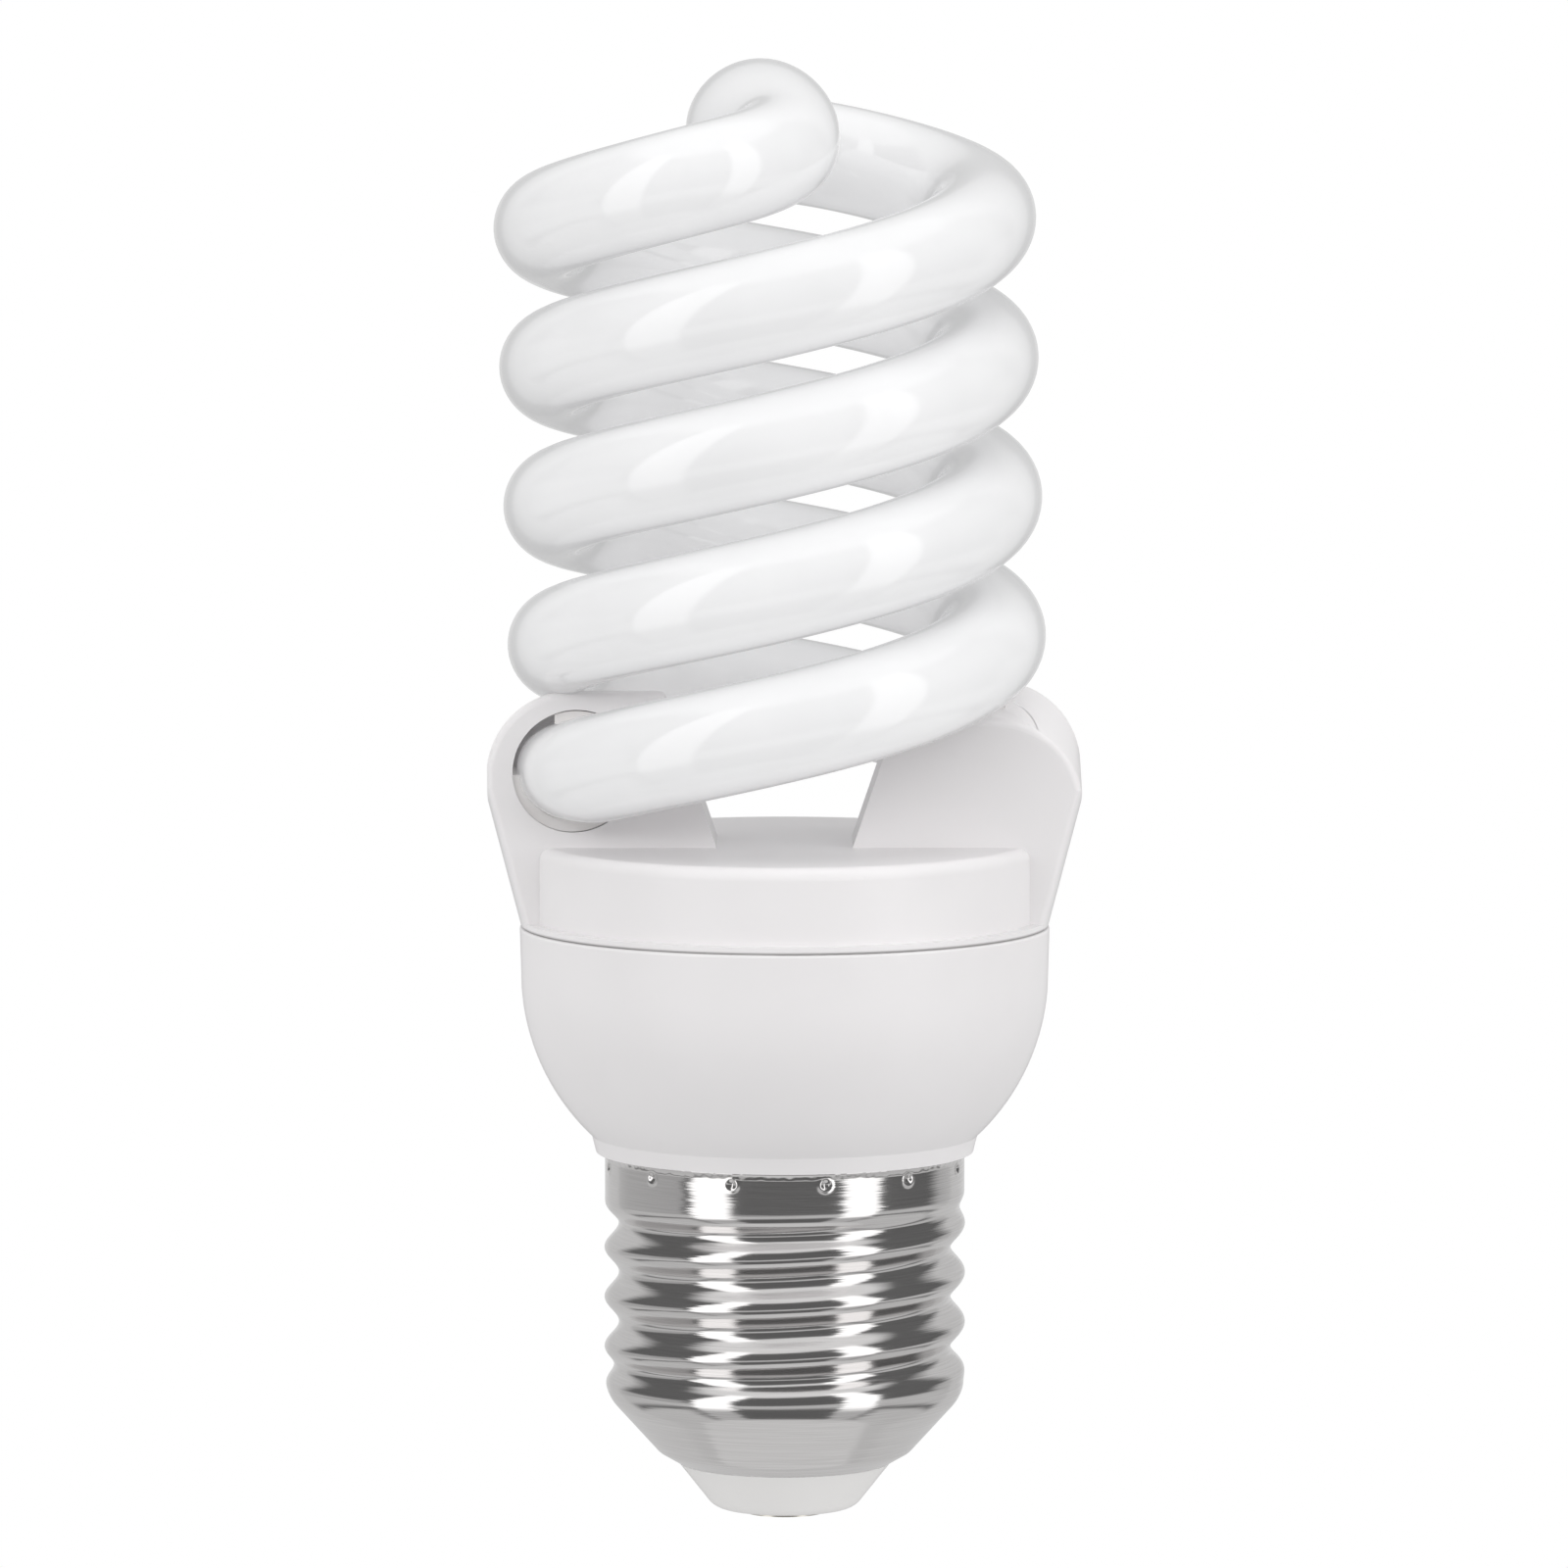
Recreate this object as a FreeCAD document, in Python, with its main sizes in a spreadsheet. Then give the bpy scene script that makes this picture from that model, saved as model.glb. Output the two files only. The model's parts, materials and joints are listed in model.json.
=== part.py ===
# Spiral energy saving lamp with an E27 screw cap.
# Millimetres, with +Z up along the lamp's axis and z = 0 on the face of the centre contact.
# The front of the lamp is -Y. The left holder ear (-X) takes the tube from the front.
import FreeCAD, Part
import math
import os
import Sketcher

V = FreeCAD.Vector
TUBE_SIDES = 16  # points round each section of a tube
TUBE_STEP = 7.0  # distance between the sections of a tube
END_EASE = 1.3  # power by which the tube's ends ease into its full size
COIL_TURN = 15.0  # degrees between the points of the coil's path
THREAD_COLUMNS = 44  # facets round the screw thread
THREAD_STEP = 0.4  # height of a facet
TINY = 1e-4  # lengths under this count as nothing
doc = FreeCAD.newDocument("spiral_lamp")
sheet = doc.addObject("Spreadsheet::Sheet", "sizes")
subparts = []

# driving sizes, each written once
sizes = {
    # overall stack, from the contact up
    "cap_height": 26.5,  # contact face to the rim of the screw shell
    "bowl_height": 16.5,  # rim of the screw shell to the housing seam
    "platform_height": 6.0,  # seam to the flat top between the ears
    # screw cap, E27 knuckle thread
    "band_radius": 13.05,  # smooth band above the thread
    "crest_rise": 0.05,  # how far the crests stand outside the band
    "groove_depth": 1.05,  # crest to groove
    "thread_pitch": 3.629,
    "thread_phase": 245.0,  # bearing of a crest that lies at the foot of the thread
    "thread_foot": 9.2,
    "thread_head": 23.6,
    "thread_fade": 2.4,  # height over which the thread runs out at both ends
    "shell_wall": 0.3,
    "shell_flare": 0.22,  # how far the rim is opened out
    "shoulder_radius": 9.2,  # foot of the conical shoulder
    "shoulder_height": 4.55,
    "shoulder_head": 8.8,  # where the cone of the shoulder would meet the band's radius
    "shoulder_round": 3.0,
    "shell_mouth": 7.75,  # radius of the hole at the foot of the shell
    "shell_foot": 3.7,
    "shell_throat": 1.0,  # height over which the cavity narrows at the head of the thread
    # insulator and contact
    "tip_radius": 5.1,
    "tip_round": 1.5,
    "contact_proud": 0.35,
    "contact_radius": 3.0,
    "contact_thick": 0.6,
    "eyelet_radius": 0.85,
    "eyelet_bore": 0.45,
    "eyelet_length": 2.4,
    "solder_set_back": 0.1,
    "solder_length": 1.2,
    "wire_stop": 0.5,  # how far the lead to the contact stops above its face
    "plug_radius": 8.6,
    "plug_height": 6.6,  # top of the insulator inside the shell
    "fit_gap": 0.05,  # clearance between pieces pushed together
    "overrun": 1.0,  # how far a cutting shape passes the faces that it cuts
    # lower housing
    "seam_radius": 19.2,
    "bowl_draft": 0.1,
    "bowl_straight": 3.5,  # straight wall below the seam
    "bowl_curve": 16.2,
    "housing_wall": 1.4,
    "collar_height": 1.2,
    "collar_taper": 0.3,
    "neck_gap": 0.1,  # clearance between the neck and the screw shell
    "neck_length": 2.8,
    "spigot_radius": 11.4,
    "spigot_foot": 14.0,
    "seam_edge": 0.3,  # edge rounding on both sides of the seam
    "board_rib": 1.2,
    "board_rib_depth": 1.9,
    "board_rib_height": 4.5,
    "board_rib_count": 6,
    "board_rib_start": 15.0,
    "notch_width": 1.0,  # notch in the neck for the lead to the shell
    "notch_reach": 1.6,
    "notch_height": 1.8,
    "shell_wire_x": 0.8,
    "shell_wire_y": 9.6,
    "bead_height": 0.5,
    "bead_proud": 0.25,
    "bead_drop": 1.9,  # seam to the middle of the snap bead
    # tube holder
    "skirt_gap": 0.1,
    "skirt_wall": 1.2,
    "skirt_length": 3.4,
    "flange_height": 0.45,
    "flange_set_back": 0.12,
    "drum_radius": 18.2,
    "drum_edge": 0.9,
    "cover_wall": 1.4,
    "ear_half_depth": 4.3,
    "ear_drop": 2.4,  # how much lower the closed side of an ear is than its mouth
    "ear_height": 17.5,  # seam to the top of the mouth side
    "ear_flare_radius": 21.45,
    "ear_flare_height": 10.9,
    "ear_round": 6.2,
    "ear_crown": 15.2,  # distance from the axis at which the round starts
    "ear_inner_round": 2.8,
    "ear_edge": 0.5,
    "ear_flare_over": 0.5,  # how far the flare would pass the flat side
    "notch_half_width": 4.9,
    "notch_slope": 0.34,  # sideways run of the notch for each millimetre up
    "ear_back_wall": 1.3,
    "wire_slot_width": 3.2,
    "slot_x": 15.3,
    "slot_rise": 4.5,  # how far a slot runs up into its socket
    "channel_sweep": 48.0,  # bearing past the axis at which a socket has left its ear
    # glass tube
    "tube_radius": 3.9,
    "coil_radius": 15.56,
    "coil_pitch": 20.1,  # rise of one strand in one turn
    "coil_bearing": -11.42,  # bearing at which a strand would cross the seam's height
    "coil_top_bearing": 885.0,  # bearing at which the strand leaves the helix for the crossover
    "socket_play": 0.5,  # socket radius over tube radius
    "socket_inward": 0.18,  # middle of a socket, from the tube's own axis
    "end_taper": 1.1,  # how much thinner the tube is at its ends
    "end_lift": 1.3,  # how far its ends lie above the helix
    "taper_length": 11.0,
    "tube_lean": 1.6,  # the coil leans to the left, in degrees
    "end_gap": 1.0,  # from the tube's end to the end of its socket
    # crossover at the top of the coil, first half: distance inside the coil's radius, bearing, and rise
    # above the end of the helix
    "turn_in_inset": -0.30,
    "turn_in_bearing": 216.67,
    "turn_in_rise": 2.66,
    "front_inset": 1.33,
    "front_bearing": 253.08,
    "front_rise": 4.94,
    "turn_back_inset": 7.99,
    "turn_back_bearing": 281.67,
    "turn_back_rise": 6.80,
    "apex_rise": 8.77,
    # circuit board and what it carries
    "board_gap": 0.2,
    "board_thick": 1.0,
    "lead_radius": 0.3,
    "lead_proud": 0.8,
    "hole_gap": 0.1,
    "ring_radius": 13.2,  # circle on which the small components sit
    "standoff": 0.4,  # gap between a component and the board
    "capacitor_radius": 4.0,
    "capacitor_length": 12.0,
    "capacitor_x": 3.2,
    "capacitor_y": -4.2,
    "choke_width": 10.0,
    "choke_depth": 8.0,
    "choke_height": 7.4,
    "choke_x": -5.0,
    "choke_y": 4.5,
    "choke_limb": 2.0,
    "core_radius": 4.0,
    "core_bore": 2.0,
    "core_thick": 3.0,
    "core_x": 5.6,
    "core_y": 5.4,
    "winding_thick": 0.45,
    "winding_span": 70.0,
    "transistor_width": 4.6,
    "transistor_height": 4.6,
    "film_width": 6.0,
    "film_depth": 2.6,
    "film_height": 5.5,
    "diode_radius": 1.3,
    "diode_length": 4.6,
    "resistor_radius": 1.1,
    "resistor_length": 5.6,
    "inductor_radius": 2.4,
    "inductor_height": 5.6,
    "inductor_x": 9.4,
    "inductor_y": -1.6,
    "lead_step": 2.0,  # from a standing component to its lead that comes up beside it
    "lead_drop": 0.8,
    "diode_bearing": 172.0,
    "diode_step": 34.0,
    "film_a_bearing": 305.0,
    "film_b_bearing": 337.0,
    "film_c_bearing": 70.0,
    "film_lead": 2.5,
    "fuse_bearing": 100.0,
    "diac_bearing": 5.0,
    "resistor_a_bearing": 30.0,
    "resistor_b_bearing": 155.0,
    "transistor_a_x": -6.3,
    "transistor_a_y": -3.2,
    "transistor_b_x": -3.6,
    "transistor_b_y": -7.6,
    "transistor_lead": 1.27,
    "transistor_flat": 1.2,  # flat side of a transistor, from its axis
    "capacitor_lead": 1.75,
    "choke_back": 1.5,
    "choke_limb_depth": 4.0,
    "bobbin_wall": 0.5,
    "bobbin_half_width": 2.9,
    "bobbin_half_depth": 3.9,
    "choke_lead_x": 1.5,
    "choke_lead_y": 3.4,
    "winding_inset": 0.2,
    "core_lead_angle": 22.0,
    "inductor_lead": 1.4,
    "inductor_core_radius": 1.5,
    "inductor_flange": 0.8,
    "tip_wire_x": -2.4,
    "tip_wire_y": -2.0,
    "tip_wire_turn": 12.0,
    "tip_wire_drop": 8.0,
    "shell_wire_turn": 24.8,
    "shell_wire_reach": 12.45,
    "shell_wire_foot": 23.85,
    "pin_half": 0.4,
    "pin_length": 5.6,
    "pin_x": 14.6,
    "pin_near": 1.3,
    "pin_far": 3.7,
    "wire_radius": 0.22,
    "wire_bend": 0.4,
    "wire_spread": 0.8,  # half the distance between the two leads in a tube end
    "wire_turn": 46.0,
    "wire_out": 0.5,
    "cement_gap_shift": 0.7,  # the cement is open over the outer upper quarter of each tube end
    "cement_front": 4.0,  # cement in a socket, from the axis plane toward its mouth
    "cement_back": 1.6,
}
for row, alias in enumerate(sizes, 1):
    sheet.set("A%d" % row, alias)
    sheet.set("B%d" % row, str(sizes[alias]))
    sheet.setAlias("B%d" % row, alias)
doc.recompute()


def num(expression):
    # value of an expression over the sheet
    return float(sheet.evalExpression(str(expression)))


# levels and radii that several pieces share
SEAM = "(sizes.cap_height + sizes.bowl_height)"
PLATFORM = "(%s + sizes.platform_height)" % SEAM
UNDER_PLATFORM = "(%s - sizes.cover_wall)" % PLATFORM
MOUTH = "(sizes.seam_radius - sizes.bowl_draft - sizes.housing_wall)"
CURVE_X = "(sizes.seam_radius - sizes.bowl_draft - sizes.bowl_curve)"
CURVE_Z = "(%s - sizes.bowl_straight)" % SEAM
NECK = "(sizes.band_radius - sizes.shell_wall - sizes.neck_gap)"
SPIGOT_BORE = "(sizes.spigot_radius - sizes.housing_wall)"
SKIRT = "(%s - sizes.skirt_gap)" % MOUTH
SKIRT_FOOT = "(%s - sizes.skirt_length)" % SEAM
BOARD_TOP = "(%s - sizes.board_gap)" % SKIRT_FOOT
BOARD_FOOT = "(%s - sizes.board_thick)" % BOARD_TOP
BOARD_RADIUS = "(%s - sizes.board_gap)" % MOUTH
BEAD = "(%s - sizes.bead_drop)" % SEAM


def origin_plane(body, role):
    return [item for item in body.Origin.OriginFeatures if item.Role == role][0]


def sketch_on(body, name, role, outline, arcs=None):
    # closed outline of (x, y) expressions; arcs gives the radius of a round segment by its index,
    # positive where it turns left
    arcs = arcs or {}
    sketch = body.newObject("Sketcher::SketchObject", name)
    sketch.AttachmentSupport = (origin_plane(body, role), [""])
    sketch.MapMode = "FlatFace"
    count = len(outline)
    points = [V(num(x), num(y), 0) for x, y in outline]
    ends = []
    for i in range(count):
        a = points[i]
        b = points[(i + 1) % count]
        if i not in arcs:
            sketch.addGeometry(Part.LineSegment(a, b), False)
            ends.append((1, 2))
            continue
        left = num(arcs[i]) > 0
        radius = abs(num(arcs[i]))
        chord = b - a
        rise = math.sqrt(radius ** 2 - chord.Length ** 2 / 4)
        across = V(-chord.y, chord.x, 0).normalize()
        centre = (a + b) * 0.5 + across * (rise if left else -rise)
        first = a if left else b
        last = b if left else a
        from_angle = math.atan2(first.y - centre.y, first.x - centre.x)
        to_angle = math.atan2(last.y - centre.y, last.x - centre.x)
        circle = Part.Circle(centre, V(0, 0, 1), radius)
        sketch.addGeometry(Part.ArcOfCircle(circle, from_angle, to_angle), False)
        ends.append((1, 2) if left else (2, 1))
    for i in range(count):
        after = (i + 1) % count
        sketch.addConstraint(Sketcher.Constraint("Coincident", i, ends[i][1], after, ends[after][0]))
    for i in range(count):
        for kind, value, axis in (("DistanceX", outline[i][0], -2), ("DistanceY", outline[i][1], -1)):
            if abs(num(value)) < TINY:
                sketch.addConstraint(Sketcher.Constraint("PointOnObject", i, ends[i][0], axis))
                continue
            index = sketch.addConstraint(
                Sketcher.Constraint(kind, -1, 1, i, ends[i][0], num(value)))
            if "sizes." in str(value):
                sketch.setExpression("Constraints[%d]" % index, str(value))
    for i in sorted(arcs):
        index = sketch.addConstraint(Sketcher.Constraint("Radius", i, abs(num(arcs[i]))))
        sketch.setExpression("Constraints[%d]" % index, "abs(%s)" % arcs[i])
    return sketch


def turned(name, outline, arcs=None):
    # body of revolution about Z from an outline of (radius, height) expressions
    body = doc.addObject("PartDesign::Body", name)
    profile = sketch_on(body, name + "_profile", "XZ_Plane", outline, arcs)
    revolution = body.newObject("PartDesign::Revolution", name + "_turn")
    revolution.Profile = profile
    revolution.ReferenceAxis = (profile, ["V_Axis"])
    revolution.Angle = 360
    doc.recompute()
    return body


def round_rings(body, rings, radius):
    # rounds the circular edges of a body that have the given (radius, height)
    wanted = [(num(r), num(z)) for r, z in rings]
    tip = body.Tip
    names = []
    for i, edge in enumerate(tip.Shape.Edges):
        box = edge.BoundBox
        if box.ZLength > TINY:
            continue
        for r, z in wanted:
            if abs(box.ZMin - z) < 10 * TINY and abs(box.XMax - r) < 10 * TINY:
                names.append("Edge%d" % (i + 1))
    fillet = body.newObject("PartDesign::Fillet", body.Name + "_round%d" % len(body.Group))
    fillet.Base = (tip, names)
    fillet.setExpression("Radius", radius)
    doc.recompute()


def keep(item, label=None):
    # marks an object as a sub-part, and gives it the label that names its file
    item.Label = label or item.Name
    subparts.append(item)
    return item


def feature(name, shape):
    item = doc.addObject("Part::Feature", name)
    item.Shape = shape
    return item


def place(item, x, y, z):
    for axis, value in (("x", x), ("y", y), ("z", z)):
        item.setExpression(".Placement.Base.%s" % axis, str(value))
    return item


def cylinder(name, radius, height, x="0", y="0", z="0"):
    item = doc.addObject("Part::Cylinder", name)
    item.setExpression("Radius", radius)
    item.setExpression("Height", height)
    return place(item, x, y, z)


def box(name, length, width, height, x, y, z):
    # a box centred on x and y that stands on z
    item = doc.addObject("Part::Box", name)
    item.setExpression("Length", length)
    item.setExpression("Width", width)
    item.setExpression("Height", height)
    return place(item, "%s - (%s) / 2" % (x, length), "%s - (%s) / 2" % (y, width), z)


def fused(name, items):
    item = doc.addObject("Part::MultiFuse", name)
    item.Shapes = items
    item.Refine = True
    return item


def cut(name, base, tool):
    item = doc.addObject("Part::Cut", name)
    item.Base = base
    item.Tool = tool
    return item


def solid_of(faces):
    shell = Part.makeShell(faces)
    shell.sewShape(TINY)
    solid = Part.makeSolid(shell)
    if solid.Volume < 0:
        solid.reverse()
    return solid


def grid_surface(grid):
    surface = Part.BSplineSurface()
    surface.interpolate(grid)
    return surface.toShape()


# Path of the glass tube
END_DEPTH = "(sizes.ear_half_depth - sizes.ear_back_wall - sizes.end_gap)"


def end_weight(distance):
    # 1 at an end of the tube, falling to 0 where the tube has its full size
    reach = 1 - distance / num("sizes.taper_length")
    return max(0.0, reach) ** END_EASE


def coil_point(bearing):
    angle = math.radians(bearing)
    radius = num("sizes.coil_radius")
    rise = (bearing - num("sizes.coil_bearing")) / 360 * num("sizes.coil_pitch")
    from_end = math.radians(bearing - bearing_at_depth(num(END_DEPTH))) * radius
    rise += num("sizes.end_lift") * end_weight(from_end)
    return V(radius * math.cos(angle), radius * math.sin(angle), rise)


def bearing_at_depth(depth):
    # bearing on the left of the coil at which a strand is that far behind the lamp's axis
    return 180 - math.degrees(math.asin(depth / num("sizes.coil_radius")))


def tube_sections(path, radius, starts=(None, None)):
    # rings of points round the path, carried along it without twist; starts gives how far before the
    # path's ends the tube's own ends lie, where it thins toward them
    steps = max(2, int(round(path.length() / TUBE_STEP)))
    rings = []
    before = None
    for i in range(steps + 1):
        along = path.length() * i / steps
        here = radius
        for start, distance in zip(starts, (along, path.length() - along)):
            if start is not None:
                here -= num("sizes.end_taper") * end_weight(distance + start)
        parameter = path.parameterAtDistance(along, path.FirstParameter)
        point = path.value(parameter)
        tangent = path.tangent(parameter)[0]
        if before is None:
            normal = tangent.cross(V(0, 0, 1)).normalize()
        else:
            # double reflection of the last normal
            step = point - before[0]
            turned_normal = before[2] - step * (2 * step.dot(before[2]) / step.dot(step))
            turned_tangent = before[1] - step * (2 * step.dot(before[1]) / step.dot(step))
            change = tangent - turned_tangent
            normal = turned_normal
            if change.Length > TINY ** 2:
                normal = normal - change * (2 * change.dot(normal) / change.dot(change))
            normal.normalize()
        before = (point, tangent, normal)
        across = tangent.cross(normal)
        ring = []
        for j in range(TUBE_SIDES + 1):
            angle = 2 * math.pi * j / TUBE_SIDES
            spoke = normal * math.cos(angle) + across * math.sin(angle)
            ring.append(point + spoke * here)
        rings.append(ring)
    return rings


def tube_along(path, radius, starts=(None, None)):
    # one closed surface round the path, with a flat face on each end
    rings = tube_sections(path, radius, starts)
    skin = grid_surface(rings)
    faces = [skin]
    for ring in (rings[0], rings[-1]):
        edges = []
        for edge in skin.Edges:
            off = max((vertex.Point - ring[0]).Length for vertex in edge.Vertexes)
            if off < TINY and edge.Length > radius:
                edges.append(edge)
        faces.append(Part.Face(Part.Wire(edges)))
    return solid_of(faces)


def path_through(points):
    path = Part.BSplineCurve()
    path.interpolate(points)
    return path


def helix_path(first, last):
    steps = max(3, int(math.ceil(abs(last - first) / COIL_TURN)))
    return path_through([coil_point(first + (last - first) * i / steps) for i in range(steps + 1)])


def half_turn(point):
    return V(-point.x, -point.y, point.z)


def tube_path(first):
    top = num("sizes.coil_top_bearing")
    steps = int(math.ceil((top - first) / COIL_TURN))
    half = [coil_point(first + (top - first) * i / steps) for i in range(steps + 1)]
    level = half[-1].z
    for spot in ("turn_in", "front", "turn_back"):
        radius = num("sizes.coil_radius - sizes.%s_inset" % spot)
        angle = math.radians(num("sizes.%s_bearing" % spot))
        rise = num("sizes.%s_rise" % spot)
        half.append(V(radius * math.cos(angle), radius * math.sin(angle), level + rise))
    apex = V(0, 0, level + num("sizes.apex_rise"))
    return path_through(half + [apex] + [half_turn(point) for point in reversed(half)])


def seated(shape):
    # lifts a shape that was made about the seam's centre to its height, with the coil's lean
    shape.rotate(V(0, 0, 0), V(0, 1, 0), -num("sizes.tube_lean"))
    shape.translate(V(0, 0, num(SEAM)))
    return shape


def rounded_run(points, bend):
    # wire of straight runs joined by tangent arcs
    edges = []
    start = points[0]
    for i in range(1, len(points) - 1):
        corner = points[i]
        back = (points[i - 1] - corner).normalize()
        ahead = (points[i + 1] - corner).normalize()
        turn = math.pi - back.getAngle(ahead)
        if turn < TINY:
            continue
        trim = bend * math.tan(turn / 2)
        middle = (back + ahead).normalize() * (bend / math.cos(turn / 2) - bend)
        first = corner + back * trim
        last = corner + ahead * trim
        edges.append(Part.LineSegment(start, first).toShape())
        edges.append(Part.Arc(first, corner + middle, last).toShape())
        start = last
    edges.append(Part.LineSegment(start, points[-1]).toShape())
    return Part.Wire(edges)


def bent_wire(points, radius, bend):
    run = rounded_run(points, bend)
    ring = Part.Wire([Part.makeCircle(radius, points[0], points[1] - points[0])])
    return run.makePipeShell([ring], True, False)


# Screw cap


def thread_strength(z):
    # 0 outside the thread, 1 inside it, with a smooth run-out at both ends
    fade = num("sizes.thread_fade")
    reach = min(z - num("sizes.thread_foot"), num("sizes.thread_head") - z) / fade
    reach = max(0.0, min(1.0, reach))
    return reach * reach * (3 - 2 * reach)


def thread_offset(z, bearing):
    strength = thread_strength(z)
    turns = (z - num("sizes.thread_foot")) / num("sizes.thread_pitch")
    phase = 2 * math.pi * turns - math.radians(bearing - num("sizes.thread_phase"))
    groove = num("sizes.groove_depth") * (1 - math.cos(phase)) / 2
    return strength * (num("sizes.crest_rise") - groove)


def thread_block():
    # solid thread between the shoulder and the band, in straight facets from ring to ring
    foot = num("sizes.thread_foot")
    head = num("sizes.thread_head")
    round_radius = num("sizes.shoulder_round")
    band = num("sizes.band_radius")
    round_top = num(ROUND_TOP)
    steps = int(math.ceil((head - foot) / THREAD_STEP))
    rings = []
    for i in range(steps + 1):
        z = foot + (head - foot) * i / steps
        plain = band
        if z < round_top:
            plain = band - round_radius + math.sqrt(round_radius ** 2 - (round_top - z) ** 2)
        ring = []
        for j in range(THREAD_COLUMNS):
            bearing = 360.0 * j / THREAD_COLUMNS
            angle = math.radians(bearing)
            r = plain + thread_offset(z, bearing)
            ring.append(V(r * math.cos(angle), r * math.sin(angle), z))
        rings.append(Part.makePolygon(ring + [ring[0]]))
    return Part.makeLoft(rings, True, True)


# slope of the shoulder's cone, and its rounding into the band
RUN = "(sizes.band_radius - sizes.shoulder_radius)"
RISE = "(sizes.shoulder_head - sizes.shoulder_height)"
SLANT = "sqrt(%s ^ 2 + %s ^ 2)" % (RUN, RISE)
TRIM = "(sizes.shoulder_round * (%s - %s) / %s)" % (SLANT, RISE, RUN)
ROUND_TOP = "(sizes.shoulder_head + %s)" % TRIM
ROUND_X = "(sizes.band_radius - %s * %s / %s)" % (TRIM, RUN, SLANT)
ROUND_Z = "(sizes.shoulder_head - %s * %s / %s)" % (TRIM, RISE, SLANT)
ROUND_SAG = "sqrt(sizes.shoulder_round ^ 2 - (%s - sizes.thread_foot) ^ 2)" % ROUND_TOP
THREAD_FOOT_R = "(sizes.band_radius - sizes.shoulder_round + %s)" % ROUND_SAG
RIM_FOOT = "(sizes.cap_height - 3 * sizes.shell_flare - sizes.shell_wall)"

shell_low = turned("shell_low", [
    ("0", "sizes.shell_foot"),
    ("sizes.shell_mouth", "sizes.shell_foot"),
    ("sizes.shoulder_radius", "sizes.shoulder_height"),
    (ROUND_X, ROUND_Z),
    (THREAD_FOOT_R, "sizes.thread_foot"),
    ("0", "sizes.thread_foot"),
], {3: "sizes.shoulder_round"})
shell_high = turned("shell_high", [
    ("0", "sizes.thread_head"),
    ("sizes.band_radius", "sizes.thread_head"),
    ("sizes.band_radius", RIM_FOOT),
    ("sizes.band_radius + sizes.shell_flare", "sizes.cap_height"),
    ("0", "sizes.cap_height"),
])
# cavity of the shell: the wall is measured square to each slope
BASE_SLOPE = "((sizes.shoulder_height - sizes.shell_foot) / (sizes.shoulder_radius - sizes.shell_mouth))"
BASE_LIFT = "(sizes.shell_wall * sqrt(1 + %s ^ 2))" % BASE_SLOPE
CONE_SHIFT = "(sizes.shell_wall * %s / %s)" % (SLANT, RISE)
GROOVE_INSIDE = "(sizes.band_radius + sizes.crest_rise - sizes.groove_depth - sizes.shell_wall)"
CONE_RATE = "(%s / %s)" % (RUN, RISE)
CORNER_X = "((sizes.shoulder_radius - %s + %s * (%s - %s * sizes.shoulder_radius)) / (1 - %s * %s))" % (
    CONE_SHIFT, CONE_RATE, BASE_LIFT, BASE_SLOPE, CONE_RATE, BASE_SLOPE)
CORNER_Z = "(sizes.shell_foot + %s + %s * (%s - sizes.shell_mouth))" % (BASE_LIFT, BASE_SLOPE, CORNER_X)
shell_cavity = turned("shell_cavity", [
    ("0", "sizes.shell_foot - sizes.overrun"),
    ("sizes.shell_mouth", "sizes.shell_foot - sizes.overrun"),
    ("sizes.shell_mouth", "sizes.shell_foot + %s" % BASE_LIFT),
    (CORNER_X, CORNER_Z),
    (GROOVE_INSIDE, "sizes.shoulder_height + (%s + %s - sizes.shoulder_radius) / %s" % (
        GROOVE_INSIDE, CONE_SHIFT, CONE_RATE)),
    (GROOVE_INSIDE, "sizes.thread_head - sizes.shell_throat"),
    ("sizes.band_radius - sizes.shell_wall", "sizes.thread_head"),
    ("sizes.band_radius - sizes.shell_wall", RIM_FOOT),
    ("sizes.band_radius - sizes.shell_wall + sizes.shell_flare", "sizes.cap_height"),
    ("sizes.band_radius - sizes.shell_wall + sizes.shell_flare", "sizes.cap_height + sizes.overrun"),
    ("0", "sizes.cap_height + sizes.overrun"),
])
shell_thread = feature("shell_thread", thread_block())
shell_blank = doc.addObject("Part::MultiFuse", "shell_blank")
shell_blank.Shapes = [shell_low, shell_thread, shell_high]
shell_blank.Refine = False
keep(cut("screw_shell", shell_blank, shell_cavity))

# Insulator and contact
EYELET_HOLE = "(sizes.eyelet_radius + sizes.fit_gap)"
CONTACT_SEAT = "(sizes.contact_radius + sizes.fit_gap)"
INSULATOR_NECK = "(sizes.shell_mouth - sizes.fit_gap)"
PLUG_LIFT = "(sizes.shell_foot + %s + 2 * sizes.fit_gap)" % BASE_LIFT
insulator = keep(turned("cap_insulator", [
    (EYELET_HOLE, "sizes.contact_thick"),
    (CONTACT_SEAT, "sizes.contact_thick"),
    (CONTACT_SEAT, "sizes.contact_proud"),
    ("sizes.tip_radius", "sizes.contact_proud"),
    (INSULATOR_NECK, "sizes.shell_foot - sizes.fit_gap"),
    (INSULATOR_NECK, PLUG_LIFT),
    ("sizes.plug_radius", "%s + %s * (sizes.plug_radius - %s)" % (PLUG_LIFT, BASE_SLOPE, INSULATOR_NECK)),
    ("sizes.plug_radius", "sizes.plug_height"),
    (EYELET_HOLE, "sizes.plug_height"),
]))
round_rings(insulator, [("sizes.tip_radius", "sizes.contact_proud")], "sizes.tip_round")
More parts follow.
